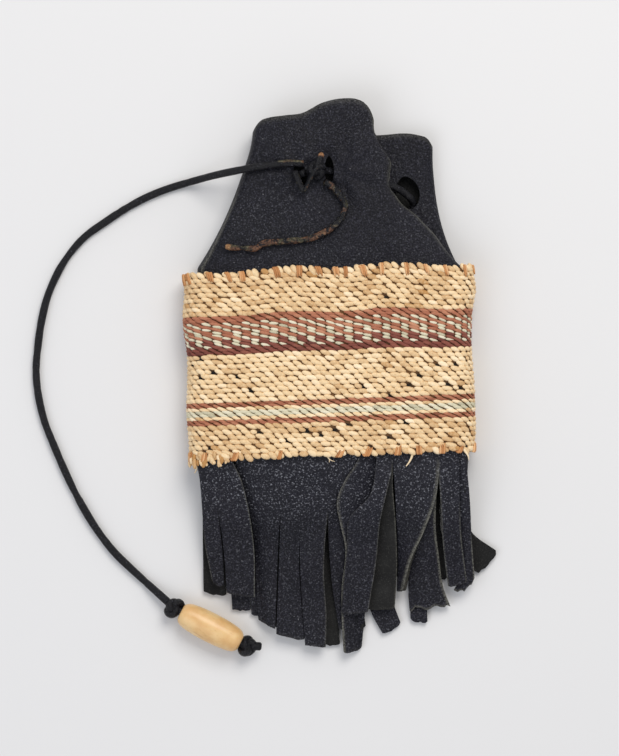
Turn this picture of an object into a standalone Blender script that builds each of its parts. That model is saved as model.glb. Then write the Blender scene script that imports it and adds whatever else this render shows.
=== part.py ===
"""Beaded medicine bag: a drawstring pouch of soft black leather lying on its back.

The pouch is a leather tube, open at its neck and closed at its foot, with a pleat down the right
side of the neck. A leather strip cut into a fringe is sewn round the foot, and a woven sleeve is
pulled over that seam. A leather thong runs through slits in the neck and is knotted in front; one
end is a short tail, and the other is long and carries a bone bead between two knots.

The origin is under the middle of the bag, on the surface it lies on. +Y runs from the fringe to
the neck, +X to the bag's right side as seen from the front, and +Z up through the front.
"""

import math

import bmesh
import bpy
import numpy as np
from mathutils import Matrix, Vector

# Clearance between neighbouring pieces, and the height of soft leather above the table.
GAP = 0.0003
LIE = 0.0002

# Leather and thong.
LEATHER = 0.0011
THONG = 0.0021

# The woven sleeve: a flat oval tube round the foot of the pouch.
BAND_X = -0.0026
BAND_Y = 0.0049
BAND_WIDTH = 0.0775
BAND_HEIGHT = 0.0505
BAND_DEPTH = 0.0142
BAND_WALL = 0.0016
BAND_ROLL = 0.0004
BAND_SLOPE = 0.035
BAND_TURN = 0.0062
BAND_CROWN = 0.0008
SIDE_TUCK = 0.0018

# The pouch: its neck, the pleat at the right of the neck, and its foot.
NECK_LEFT = -0.0226
NECK_RIGHT = 0.0248
NECK_TURN = 0.0024
NECK_CROWN = 0.0003
MOUTH_Y = 0.069
FOLD_X = 0.0092
TUCK = 0.0020
TUCK_RADIUS = 0.0004
UNFOLD = 0.020
FOOT_Y = -0.017
FOOT_HEIGHT = 0.0052

# The fringe: how far it runs up under the sleeve, where its cuts start, and its strips.
FRINGE_LAP = 0.0105
FRINGE_UNCUT = 0.0107
FRINGE_WIDTH = 0.0735
FRINGE_X = -0.0020
FRINGE_TURN = 0.0012
FRINGE_RISE = 0.0080
CUT_WIDTH = 0.0006
STRIP_LOW = 0.0030
STRIP_HIGH = 0.0052

# The bead and the knots either side of it.
BEAD_LENGTH = 0.0188
BEAD_DIAMETER = 0.0080
BEAD_END_DIAMETER = 0.0060
BEAD_X = -0.0350
BEAD_Y = -0.0671
BEAD_ANGLE = math.radians(-27.5)
KNOT_LENGTH = 0.0060
KNOT_WIDTH = 0.0064
NECK_KNOT = (-0.0062, 0.0562)

# The slits that the thong passes through: the first two open upwards either side of the neck knot,
# the third is in the pleat's edge, and the fourth in the lower layer beside it.
SLIT_REACH = 0.0063
SLIT_LENGTH = 0.0062
SLIT_WIDTH = 0.0050
SLIT_RIGHT = (NECK_KNOT[0] + SLIT_REACH, NECK_KNOT[1])
SLIT_LEFT = (NECK_KNOT[0] - SLIT_REACH, NECK_KNOT[1] - 0.0012)
SLIT_EDGE_Y = 0.0522
SLIT_LOWER = (0.0192, 0.0492)

# Worked out from the sizes above.
BAND_LEFT, BAND_RIGHT = BAND_X - BAND_WIDTH / 2, BAND_X + BAND_WIDTH / 2
BAND_TOP, BAND_BOTTOM = BAND_Y + BAND_HEIGHT / 2, BAND_Y - BAND_HEIGHT / 2
BAND_INSIDE = BAND_WALL + GAP
FRINGE_TOP = BAND_BOTTOM + FRINGE_LAP
CUT_Y = BAND_BOTTOM - FRINGE_UNCUT
FOLD_RADIUS = THONG / 2 + GAP + LEATHER
FOLD_ARC, TUCK_ARC = math.pi * FOLD_RADIUS, math.pi * TUCK_RADIUS
STEP_DOWN = 2 * (FOLD_RADIUS + TUCK_RADIUS)
LOWER_Z = LIE + 2 * LEATHER + THONG + 2 * GAP
NECK_Z = LOWER_Z + STEP_DOWN

# Where the pleat's edge runs: height up the neck, and share of the way in from the sleeve's side.
FOLD_RUN = (
    (0, 0.04), (0.16, 0.26), (0.30, 0.45), (0.44, 0.68), (0.57, 0.82), (0.68, 0.85), (0.85, 0.94), (1, 1),
)
# The mouth's rim above or below MOUTH_Y, along the front from its left end to the pleat's edge.
FRONT_RIM = (
    (0, -0.0015), (0.10, 0.0015), (0.28, 0.0023), (0.44, 0.0032), (0.56, 0.0052), (0.76, 0.0067),
    (0.90, 0.0060), (1, 0.0042),
)
LOWER_RIM = -0.0028
RIGHT_RIM = -0.0056
BACK_RIM = -0.0016

# The fringe's strips from left to right: how far each tip lies across and below its root, and
# whether it lies on top of its neighbours.
FRONT_TIPS = (
    (0.0023, -0.0254, 0), (0.0025, -0.0273, 0), (0.0040, -0.0360, 0), (0.0048, -0.0392, 0),
    (0.0058, -0.0413, 0), (0.0057, -0.0408, 0), (0.0054, -0.0438, 0), (0.0008, -0.0321, 1),
    (0.0020, -0.0316, 0), (0.0016, -0.0262, 0), (0.0046, -0.0335, 0), (0.0059, -0.0251, 0),
    (0.0055, -0.0262, 0),
)
BACK_TIPS = (
    (0.0010, -0.0276), (0.0018, -0.0316), (0.0019, -0.0284), (0.0021, -0.0338), (0.0015, -0.0352),
    (0.0019, -0.0365), (0.0019, -0.0365), (0.0060, -0.0350), (0.0040, -0.0261), (0.0044, -0.0284),
    (0.0052, -0.0243), (0.0090, -0.0185),
)

# Routes of the thong's two free ends over the leather and the table, chosen by eye.
TAIL_ROUTE = (
    (-0.0042, 0.0530), (-0.0030, 0.0526), (-0.0006, 0.0503), (0.0012, 0.0475), (0.0010, 0.0448),
    (-0.0006, 0.0422), (-0.0038, 0.0397), (-0.0084, 0.0378), (-0.0151, 0.0371), (-0.0203, 0.0366),
    (-0.0227, 0.0352), (-0.0249, 0.0353), (-0.0281, 0.0354), (-0.0308, 0.0358),
)
LONG_ROUTE = (
    (-0.0099, 0.0579), (-0.0124, 0.0581), (-0.0176, 0.0578), (-0.0225, 0.0571), (-0.0274, 0.0563),
    (-0.0354, 0.0549), (-0.0446, 0.0526), (-0.0520, 0.0498), (-0.0585, 0.0463), (-0.0641, 0.0426),
    (-0.0692, 0.0389), (-0.0734, 0.0342), (-0.0766, 0.0291), (-0.0794, 0.0226), (-0.0811, 0.0156),
    (-0.0820, 0.0091), (-0.0825, 0.0026), (-0.0819, -0.0041), (-0.0803, -0.0110), (-0.0780, -0.0170),
    (-0.0748, -0.0245), (-0.0715, -0.0314), (-0.0678, -0.0379), (-0.0650, -0.0421), (-0.0613, -0.0468),
    (-0.0566, -0.0514), (-0.0522, -0.0554),
)
DROP_START, DROP_END = -0.0235, -0.0450
END_RISE = 0.008


def blend(a, b, t):
    """From a to b as t runs from 0 to 1, level at both ends."""
    t = min(max(t, 0.0), 1.0)
    return a + (b - a) * t * t * (3 - 2 * t)


def run(points, t):
    """The value at t of the curve through (t, value) points."""
    places, values = zip(*points)
    return float(np.interp(t, places, values))


def outline(x0, x1, z0, z1, turn, crown, back, side, front):
    """The flat oval of a section, from its back left corner round by the right: points (x, z)."""
    middle, half = (z0 + z1) / 2, (z1 - z0) / 2
    swing = np.linspace(-math.pi / 2, math.pi / 2, side + 1)[1:-1]
    share = np.linspace(0, 1, front)
    parts = (
        np.column_stack([np.linspace(x0 + turn, x1 - turn, back), np.full(back, z0)]),
        np.column_stack([x1 - turn + turn * np.cos(swing), middle + half * np.sin(swing)]),
        np.column_stack([x1 - turn + (x0 - x1 + 2 * turn) * share, z1 + crown * np.sin(math.pi * share)]),
        np.column_stack([x0 + turn - turn * np.cos(swing), middle - half * np.sin(swing)]),
    )
    return np.concatenate(parts)


def pouch_frame(y):
    """The pouch's outer surface at y: its sides, back, front, the pleat's start and its angle."""
    up = (y - BAND_TOP) / (MOUTH_Y - BAND_TOP)
    in_band = BAND_TOP - y
    under_fringe = min(max((FRINGE_TOP + 0.003 - y) / 0.003, 0), 1)
    inset = BAND_INSIDE + under_fringe * (LEATHER + 2 * GAP)
    tuck_in = under_fringe * (BAND_TURN / 2)
    v = min(max(up, 0), 1)
    left = BAND_LEFT + BAND_INSIDE + tuck_in
    left += (NECK_LEFT - left) * (1 - (1 - v) ** 1.5)
    right = BAND_RIGHT - BAND_INSIDE - SIDE_TUCK - tuck_in
    right += (NECK_RIGHT - right) * (1 - (1 - v) ** 3)
    low = blend(inset, LIE, (y - BAND_TOP - GAP) / 0.009)
    high = blend(BAND_DEPTH - inset - BAND_CROWN, NECK_Z, (y - BAND_TOP + 0.002) / 0.022)
    crown = blend(BAND_CROWN, NECK_CROWN, up)
    turn = blend(BAND_TURN - BAND_INSIDE, NECK_TURN, up * 3)
    closing = (FRINGE_TOP - y) / (FRINGE_TOP - FOOT_Y)
    middle = (low + high) / 2
    low = blend(low, middle - FOOT_HEIGHT / 2, closing)
    high = blend(high, middle + FOOT_HEIGHT / 2, closing)
    angle = blend(math.pi, 0.25, in_band / UNFOLD)
    fold_radius, tuck_radius = FOLD_ARC / angle, TUCK_ARC / angle
    side_x = BAND_RIGHT - BAND_INSIDE
    fold_x = side_x + (FOLD_X - side_x) * run(FOLD_RUN, v)
    advance = (fold_radius + tuck_radius) * math.sin(angle) + TUCK * math.cos(angle)
    lower_length = right - turn - (fold_x - FOLD_RADIUS - TUCK)
    lower_length = blend(lower_length, 0.0015, in_band / UNFOLD)
    start = right - turn - lower_length - advance
    return left, right, low, high, crown, turn, angle, fold_radius, tuck_radius, start


def pleat(start, high, angle, fold_radius, tuck_radius):
    """The pleat from its start on the front: over its edge, back under itself, and out again."""
    over = np.linspace(0, angle, 8)
    edge = np.column_stack([start + fold_radius * np.sin(over), high - fold_radius * (1 - np.cos(over))])
    heading = np.array([math.cos(angle), -math.sin(angle)])
    turned = edge[-1] + TUCK * heading
    centre = turned + tuck_radius * np.array([math.sin(angle), math.cos(angle)])
    back = angle - np.linspace(0, angle, 5)
    tuck = centre - tuck_radius * np.column_stack([np.sin(back), np.cos(back)])
    return np.concatenate([edge, tuck])


def rounded(x, turn, z0, z1, swing):
    """A rounded side from z0 to z1: half an oval that stands out by turn from x."""
    return np.column_stack([x + turn * np.cos(swing), (z0 + z1) / 2 + (z1 - z0) / 2 * np.sin(swing)])


def pouch_section(y):
    """The pouch's outer surface at y, from its back left corner round by the right: points (x, z)."""
    left, right, low, high, crown, turn, angle, fold_radius, tuck_radius, start = pouch_frame(y)
    fold = pleat(start, high, angle, fold_radius, tuck_radius)
    lower = fold[-1, 1]
    swing = np.linspace(-math.pi / 2, math.pi / 2, 7)[1:-1]
    share = np.linspace(0, 1, 11)
    parts = (
        np.column_stack([np.linspace(left + turn, right - turn, 9), np.full(9, low)]),
        rounded(right - turn, turn, low, lower, swing),
        np.column_stack([np.linspace(right - turn, fold[-1, 0], 4)[:3], np.full(3, lower)]),
        fold[::-1],
        np.column_stack([start + (left + turn - start) * share, high + crown * np.sin(math.pi * share)])[1:],
        rounded(left + turn, -turn, low, high, -swing),
    )
    return np.concatenate(parts), [len(part) for part in parts]


def rim_heights(counts):
    """How far the mouth's rim stands above MOUTH_Y at each point of the section."""
    back, right, lower, fold, front, left = counts
    front_rim = [run(FRONT_RIM, 1 - (i + 1) / front) for i in range(front)]
    back_rim = (FRONT_RIM[0][1], BACK_RIM, BACK_RIM, RIGHT_RIM)
    parts = (
        np.interp(np.linspace(0, 1, back), (0, 0.3, 0.8, 1), back_rim),
        np.full(right, RIGHT_RIM),
        np.linspace(RIGHT_RIM, LOWER_RIM, lower + 1)[1:],
        np.linspace(LOWER_RIM, FRONT_RIM[-1][1], fold),
        np.array(front_rim),
        np.full(left, FRONT_RIM[0][1]),
    )
    return np.concatenate(parts)


def front_height(x, y):
    """The height of the leather's front surface over the point (x, y)."""
    left, _, low, high, crown, turn, _, fold_radius, _, start = pouch_frame(y)
    if x > start:
        out = min((x - start) / fold_radius, 1)
        return high - fold_radius * (1 - math.sqrt(1 - out * out))
    if x > left + turn:
        return high + crown * math.sin(math.pi * (start - x) / (start - left - turn))
    out = min((left + turn - x) / turn, 1)
    return (low + high) / 2 + (high - low) / 2 * math.sqrt(1 - out * out)


def material(name, colour, roughness):
    made = bpy.data.materials.new(name)
    made.use_nodes = True
    shader = made.node_tree.nodes["Principled BSDF"]
    shader.inputs["Base Color"].default_value = (*colour, 1)
    shader.inputs["Roughness"].default_value = roughness
    made.diffuse_color = (*colour, 1)
    return made


def keep(obj, finish, collection="medicine_bag"):
    """Puts the object in its collection with its material."""
    home = bpy.data.collections.get(collection) or bpy.data.collections.new(collection)
    if home.name not in bpy.context.scene.collection.children:
        bpy.context.scene.collection.children.link(home)
    for other in list(obj.users_collection):
        other.objects.unlink(obj)
    home.objects.link(obj)
    obj.data.materials.clear()
    obj.data.materials.append(finish)
    return obj


def loft(name, rings, closed=False):
    """A mesh of quads between rings of points, which is closed from last ring to first if asked."""
    rings = np.asarray(rings)
    count, around = rings.shape[:2]
    mesh = bpy.data.meshes.new(name)
    faces = []
    for i in range(count if closed else count - 1):
        low, high = i * around, (i + 1) % count * around
        for j in range(around):
            k = (j + 1) % around
            faces.append((low + j, low + k, high + k, high + j))
    mesh.from_pydata(rings.reshape(-1, 3).tolist(), [], faces)
    return bpy.data.objects.new(name, mesh)


def faced_out(obj):
    work = bmesh.new()
    work.from_mesh(obj.data)
    bmesh.ops.recalc_face_normals(work, faces=work.faces)
    work.to_mesh(obj.data)
    work.free()


def smooth(obj, angle=40):
    obj.data.shade_smooth()
    obj.data.set_sharp_from_angle(angle=math.radians(angle))


def thicken(obj, thickness):
    wall = obj.modifiers.new("wall", "SOLIDIFY")
    wall.thickness = thickness
    wall.offset = -1
    wall.use_even_offset = True


def make_pouch(finish):
    """The leather tube with its pleat, closed at the foot and open at the mouth."""
    heights = np.concatenate([
        np.linspace(FOOT_Y, FRINGE_TOP + 0.003, 4),
        np.linspace(FRINGE_TOP + 0.003, BAND_TOP, 7)[1:],
        np.linspace(BAND_TOP, MOUTH_Y, 11)[1:],
    ])
    rings = []
    for y in heights:
        section, counts = pouch_section(y)
        rise = rim_heights(counts) * blend(0, 1, (y - MOUTH_Y + 0.016) / 0.016)
        rings.append(np.column_stack([section[:, 0], y + rise, section[:, 1]]))
    pouch = loft("pouch", rings)
    work = bmesh.new()
    work.from_mesh(pouch.data)
    work.verts.ensure_lookup_table()
    work.faces.new([work.verts[j] for j in range(len(rings[0]))])
    bmesh.ops.recalc_face_normals(work, faces=work.faces)
    work.to_mesh(pouch.data)
    work.free()
    thicken(pouch, LEATHER)
    return keep(pouch, finish)


def cutter(name, place, size, rotation=(0, 0, 0)):
    """A round-ended slit's cutter: an upright elliptic cylinder."""
    mesh = bpy.data.meshes.new(name)
    work = bmesh.new()
    bmesh.ops.create_cone(work, cap_ends=True, segments=16, radius1=0.5, radius2=0.5, depth=1)
    bmesh.ops.scale(work, vec=size, verts=work.verts)
    work.to_mesh(mesh)
    work.free()
    made = bpy.data.objects.new(name, mesh)
    made.location = place
    made.rotation_euler = rotation
    made.hide_render = True
    made.display_type = "WIRE"
    return made


def cut_slits(pouch, finish):
    """The slits that the thong runs through."""
    deep = 4 * LEATHER
    edge_z = pouch_frame(SLIT_EDGE_Y)[3] - FOLD_RADIUS
    edge_x = pouch_frame(SLIT_EDGE_Y)[9] + FOLD_RADIUS
    bore = THONG + 2 * GAP + 0.0002
    lower_z = pouch_frame(SLIT_LOWER[1])[3] - STEP_DOWN - LEATHER / 2
    front_size = (SLIT_LENGTH, SLIT_WIDTH, deep)
    edge_size, on_side = (bore, 1.3 * bore, deep), (0, math.pi / 2, 0)
    cuts = [
        cutter("slit_right_cutter", (*SLIT_RIGHT, front_height(*SLIT_RIGHT)), front_size),
        cutter("slit_left_cutter", (*SLIT_LEFT, front_height(*SLIT_LEFT)), front_size),
        cutter("slit_edge_cutter", (edge_x, SLIT_EDGE_Y, edge_z), edge_size, on_side),
        cutter("slit_lower_cutter", (*SLIT_LOWER, lower_z), (SLIT_LENGTH, SLIT_WIDTH, 2.2 * LEATHER)),
    ]
    for tool in cuts:
        keep(tool, finish, "cutters")
        cut = pouch.modifiers.new(tool.name, "BOOLEAN")
        cut.operation = "DIFFERENCE"
        cut.object = tool


def make_band(finish):
    """The woven sleeve, with its rolled top and bottom edges."""
    roll = BAND_WALL + BAND_ROLL
    top, bottom = BAND_TOP, BAND_BOTTOM
    profile = (
        (bottom + 0.0006, 0), (top - 0.0006, 0), (top, BAND_WALL * 0.4), (top - 0.0002, roll),
        (top - 0.0016, roll), (top - 0.0026, BAND_WALL), (BAND_Y, BAND_WALL), (bottom + 0.0026, BAND_WALL),
        (bottom + 0.0016, roll), (bottom + 0.0002, roll), (bottom, BAND_WALL * 0.4),
    )
    rings = []
    for y, out in profile:
        side, turn = BAND_WALL - out, BAND_TURN - BAND_WALL + out
        left, right, front = BAND_LEFT + side, BAND_RIGHT - side, BAND_DEPTH - BAND_CROWN - side
        oval = outline(left, right, side, front, turn, BAND_CROWN, 9, 8, 13)
        oval[:, 1] = np.maximum(oval[:, 1], 0)
        rings.append(np.column_stack([oval[:, 0], y + BAND_SLOPE * (oval[:, 0] - BAND_X), oval[:, 1]]))
    band = loft("woven_band", rings, closed=True)
    faced_out(band)
    smooth(band, 30)
    return keep(band, finish)


def fringe_ring(y):
    """The fringe's outer surface at y, above its cuts."""
    front, back, side = len(FRONT_TIPS) + 1, len(BACK_TIPS) + 1, 4
    below = (BAND_BOTTOM - y) / FRINGE_UNCUT
    left = blend(BAND_LEFT + BAND_INSIDE, FRINGE_X - FRINGE_WIDTH / 2, below * 2)
    right = blend(BAND_RIGHT - BAND_INSIDE, FRINGE_X + FRINGE_WIDTH / 2, below * 2)
    low = blend(BAND_INSIDE, LIE, below)
    high = blend(BAND_DEPTH - BAND_INSIDE - BAND_CROWN, FRINGE_RISE, below)
    turn = blend(BAND_TURN - BAND_INSIDE, FRINGE_TURN, below)
    crown = blend(BAND_CROWN, 0, below)
    oval = outline(left, right, low, high, turn, crown, back, side, front)
    return np.column_stack([oval[:, 0], np.full(len(oval), y), oval[:, 1]])


def strip_points(a, b, across, down, tip_z, rows=6):
    """Pairs of edge points down a strip from its root edge, a to b, to its tip."""
    root, half = (a + b) / 2, (b - a) / 2
    half = half * (1 - CUT_WIDTH / (2 * np.linalg.norm(half)))
    points = []
    for t in np.linspace(0, 1, rows)[1:]:
        ease = t * t * (3 - 2 * t)
        lean = math.atan2(across * 6 * t * (1 - t), -down)
        side = np.array([half[0] * math.cos(lean), abs(half[0]) * math.sin(lean) * np.sign(half[0]), 0])
        middle = root + np.array([across * ease, down * t, (tip_z - root[2]) * min(ease * 1.3, 1)])
        points.append((middle - side, middle + side))
    return points


def make_fringe(finish):
    """The leather strip round the foot of the pouch, cut into a fringe in front and behind."""
    heights = (FRINGE_TOP, (FRINGE_TOP + BAND_BOTTOM) / 2, BAND_BOTTOM, BAND_BOTTOM - FRINGE_UNCUT / 2, CUT_Y)
    rings = [fringe_ring(y) for y in heights]
    fringe = loft("fringe", rings)
    around, edge = len(rings[0]), rings[-1]
    work = bmesh.new()
    work.from_mesh(fringe.data)
    rim = list(work.verts)[-around:]

    def strip(first, across, down, tip_z):
        pair = rim[first : first + 2]
        for a, b in strip_points(edge[first], edge[first + 1], across, down, tip_z):
            new = [work.verts.new(a), work.verts.new(b)]
            work.faces.new((pair[0], pair[1], new[1], new[0]))
            pair = new

    back_count, front_count = len(BACK_TIPS), len(FRONT_TIPS)
    front_first = back_count + 1 + 3
    for i, (across, down) in enumerate(BACK_TIPS):
        strip(i, across, down, LIE)
    for i, (across, down, on_top) in enumerate(FRONT_TIPS):
        strip(front_first + front_count - 1 - i, across, down, STRIP_HIGH if on_top else STRIP_LOW)
    work.faces.ensure_lookup_table()
    bmesh.ops.recalc_face_normals(work, faces=work.faces)
    work.to_mesh(fringe.data)
    work.free()
    thicken(fringe, LEATHER)
    return keep(fringe, finish)


def route(points, spacing):
    """Points spaced along the smooth curve through the route's own points."""
    points = np.array(points, float)
    ends = np.concatenate([[2 * points[0] - points[1]], points, [2 * points[-1] - points[-2]]])
    fine = []
    for a, b, c, d in zip(ends, ends[1:], ends[2:], ends[3:]):
        t = np.linspace(0, 1, 12, endpoint=False)[:, None]
        bend = (2 * a - 5 * b + 4 * c - d) * t**2 + (3 * b - 3 * c + d - a) * t**3
        fine.append(0.5 * (2 * b + (c - a) * t + bend))
    fine = np.concatenate([*fine, points[-1:]])
    along = np.concatenate([[0], np.cumsum(np.linalg.norm(np.diff(fine, axis=0), axis=1))])
    at = np.linspace(0, along[-1], round(along[-1] / spacing) + 1)
    line = np.column_stack([np.interp(at, along, fine[:, k]) for k in range(3)])
    line[:, 2] = np.maximum(line[:, 2], THONG / 2)
    return line


def tube(name, points, diameter, finish):
    """A round thong along the points."""
    curve = bpy.data.curves.new(name, "CURVE")
    curve.dimensions = "3D"
    curve.bevel_depth = diameter / 2
    curve.bevel_resolution = 2
    curve.use_fill_caps = True
    line = curve.splines.new("POLY")
    line.points.add(len(points) - 1)
    for point, place in zip(line.points, points):
        point.co = (*place, 1)
    made = bpy.data.objects.new(name, curve)
    return keep(made, finish)


def over_front(points):
    """A thong's route laid over the front of the leather."""
    return [(x, y, front_height(x, y) + 1.5 * GAP + THONG / 2) for x, y in points]


def long_thong_route(upper_knot):
    """The long end's route: over the leather, down its left side to the table, and up to its knot."""
    table = THONG / 2
    start = over_front(LONG_ROUTE[:1])[0][2]
    away = (Vector((*LONG_ROUTE[-1], upper_knot.z)) - upper_knot).normalized()
    end = upper_knot + away * (KNOT_WIDTH / 2 + GAP)
    points = []
    for x, y in LONG_ROUTE:
        if x > DROP_START:
            z = over_front([(x, y)])[0][2]
        elif y > 0:
            z = blend(start, table, (DROP_START - x) / (DROP_START - DROP_END))
        else:
            z = blend(table, end.z, 1 - math.dist((x, y), end.xy) / END_RISE)
        points.append((x, y, z))
    return [*points, tuple(end)]


def make_drawstring(finish, knot_z):
    """The closed run through the slits: inside the front, out over the pleat, in and round the back."""
    inside = LEATHER + 1.3 * GAP + THONG / 2

    def front(x, y):
        return front_height(x, y) - inside

    back = LIE + inside
    edge = pouch_frame(SLIT_EDGE_Y)
    edge_x, edge_z = edge[9] + FOLD_RADIUS, edge[3] - FOLD_RADIUS
    lower = pouch_frame(SLIT_LOWER[1])[3] - STEP_DOWN
    x, y = SLIT_RIGHT
    points = [
        (NECK_KNOT[0] + KNOT_LENGTH / 2 + GAP, NECK_KNOT[1], knot_z),
        (x - 0.0018, y, front(x, y) + 0.0036),
        (x - 0.0002, y, front(x, y) + 0.0024),
        (x + 0.0015, y - 0.0002, front(x, y) + 0.0009),
        (x + 0.0044, y - 0.0012, front(x, y) - 0.0003),
        ((x + edge_x) / 2 + 0.002, (y + SLIT_EDGE_Y) / 2, (front(x, y) + edge_z) / 2 - 0.0002),
        (edge_x - 0.0022, SLIT_EDGE_Y + 0.0002, edge_z),
        (edge_x + 0.0012, SLIT_EDGE_Y - 0.0002, edge_z - 0.0001),
        (SLIT_LOWER[0] - 0.0006, SLIT_LOWER[1] + 0.0022, lower + 0.0016),
        (SLIT_LOWER[0] + 0.0004, SLIT_LOWER[1] + 0.0006, lower - 0.0004),
        (SLIT_LOWER[0] + 0.0002, SLIT_LOWER[1] - 0.0012, back + 0.0006),
        (SLIT_LOWER[0] - 0.0022, SLIT_LOWER[1] - 0.0036, back),
        (0.0110, 0.0462, back),
        (-0.0020, 0.0476, back),
        (-0.0140, 0.0500, back + 0.0002),
        (-0.0192, 0.0522, back + 0.0020),
        (-0.0192, 0.0538, front(-0.0190, 0.0538) - 0.0010),
        (SLIT_LEFT[0] - 0.0046, SLIT_LEFT[1] - 0.0002, front(*SLIT_LEFT) - 0.0002),
        (SLIT_LEFT[0] - 0.0015, SLIT_LEFT[1], front(*SLIT_LEFT) + 0.0009),
        (SLIT_LEFT[0] + 0.0003, SLIT_LEFT[1], front(*SLIT_LEFT) + 0.0024),
        (SLIT_LEFT[0] + 0.0018, SLIT_LEFT[1] + 0.0002, front(*SLIT_LEFT) + 0.0036),
        (NECK_KNOT[0] - KNOT_LENGTH / 2 - GAP, NECK_KNOT[1] - 0.0006, knot_z),
    ]
    return tube("drawstring", route(points, 0.8 * THONG), THONG, finish)


def solid_union(name, shapes, finish):
    """One closed body from overlapping shapes."""
    body = shapes[0]
    body.name = name
    for other in shapes[1:]:
        join = body.modifiers.new(other.name, "BOOLEAN")
        join.operation = "UNION"
        join.object = other
        keep(other, finish, "cutters")
        other.hide_render = True
        other.display_type = "WIRE"
    return keep(body, finish)


def ball(name, matrix, size):
    mesh = bpy.data.meshes.new(name)
    work = bmesh.new()
    bmesh.ops.create_uvsphere(work, u_segments=12, v_segments=8, radius=0.5)
    work.transform(matrix @ Matrix.Diagonal((*size, 1)))
    work.to_mesh(mesh)
    work.free()
    return bpy.data.objects.new(name, mesh)


def wrap(name, matrix, radius, thickness, squash=1):
    """One turn of thong round a knot."""
    bpy.ops.mesh.primitive_torus_add(
        major_segments=14, minor_segments=7, major_radius=radius, minor_radius=thickness / 2
    )
    made = bpy.context.object
    made.name = name
    made.data.transform(matrix @ Matrix.Diagonal((1, squash, 1, 1)))
    return made


def knot(name, centre, heading, length, width, finish):
    """An overhand knot: two crossing turns of thong over a lump, the thong leaving along heading."""
    along = Matrix.Translation(centre) @ Matrix.Rotation(heading, 4, "Z")
    core = ball(name, along, (length * 0.9, width * 0.72, width * 0.66))
    turn_radius = width / 2 - THONG * 0.46
    first = along @ Matrix.Rotation(math.radians(64), 4, "Z") @ Matrix.Rotation(math.pi / 2, 4, "X")
    second = along @ Matrix.Rotation(math.radians(112), 4, "Z") @ Matrix.Rotation(math.pi / 2, 4, "X")
    shapes = [
        core,
        wrap(name + "_turn_a", first, turn_radius, THONG * 0.92, 0.86),
        wrap(name + "_turn_b", second, turn_radius * 0.94, THONG * 0.92, 0.9),
    ]
    return solid_union(name, shapes, finish)


def make_bead(finish, centre):
    """The bone bead: a barrel turned about the thong, with a bore for it."""
    half, end, middle = BEAD_LENGTH / 2, BEAD_END_DIAMETER / 2, BEAD_DIAMETER / 2
    bore = THONG / 2 + GAP
    round_off = 0.0009
    outer = [(end - round_off, half), (end - 0.0003, half - 0.0003)]
    for share in np.linspace(-0.9, 0.9, 9):
        outer.append((middle - (middle - end) * abs(share / 0.9) ** 2.4, -share * half))
    outer += [(end - 0.0003, -half + 0.0003), (end - round_off, -half)]
    profile = outer + [(bore, -half), (bore, half)]
    mesh = bpy.data.meshes.new("bead")
    edges = [(i, (i + 1) % len(profile)) for i in range(len(profile))]
    mesh.from_pydata([(r, 0, z) for r, z in profile], edges, [])
    bead = bpy.data.objects.new("bead", mesh)
    turned = bead.modifiers.new("turned", "SCREW")
    turned.steps = turned.render_steps = 24
    turned.use_merge_vertices = True
    turned.merge_threshold = 0.00001
    bead.location = centre
    bead.rotation_euler = (0, math.pi / 2, BEAD_ANGLE)
    return keep(bead, finish)


def main():
    for obj in list(bpy.data.objects):
        bpy.data.objects.remove(obj, do_unlink=True)
    leather = material("black_leather", (0.021, 0.021, 0.026), 0.62)
    thong = material("thong_leather", (0.010, 0.009, 0.010), 0.7)
    straw = material("woven_straw_yarn", (0.78, 0.52, 0.28), 0.85)
    bone = material("bone", (0.72, 0.50, 0.25), 0.3)

    pouch = make_pouch(leather)
    cut_slits(pouch, leather)
    make_fringe(leather)
    make_band(straw)

    knot_rise = KNOT_WIDTH * 0.36 + GAP
    neck_z = front_height(*NECK_KNOT) + knot_rise
    knot("neck_knot", (*NECK_KNOT, neck_z), math.radians(20), KNOT_LENGTH, KNOT_WIDTH * 0.9, thong)
    make_drawstring(thong, neck_z - 0.0006)
    tube("thong_tail", route(over_front(TAIL_ROUTE), 2 * THONG), THONG, thong)

    heading = Vector((math.cos(BEAD_ANGLE), math.sin(BEAD_ANGLE), 0))
    centre = Vector((BEAD_X, BEAD_Y, BEAD_DIAMETER / 2))
    make_bead(bone, centre)
    reach = BEAD_LENGTH / 2 + GAP
    knot_z = KNOT_WIDTH / 2 + GAP
    upper = centre - heading * (reach + KNOT_LENGTH / 2 + GAP)
    lower = centre + heading * (reach + KNOT_LENGTH / 2 + GAP)
    upper.z = lower.z = knot_z
    knot("upper_knot", upper, BEAD_ANGLE, KNOT_LENGTH, KNOT_WIDTH, thong)
    knot("end_knot", lower, BEAD_ANGLE, KNOT_LENGTH, KNOT_WIDTH, thong)
    ends = [centre - heading * reach, centre + heading * reach]
    tube("bead_thong", route([tuple(p) for p in ends], 2 * THONG), THONG, thong)
    tube("long_thong", route(long_thong_route(upper), 2.2 * THONG), THONG, thong)


main()
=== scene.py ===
"""Looks of the beaded medicine bag: the leather pouch, its woven sleeve and fringe, thongs, knots and bead.

Everything is in metres in the part's own frame: +Y runs from the fringe to the neck, +X to the bag's
right side as seen from the front, and +Z up from the surface that the bag lies on.
"""

import math

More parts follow.
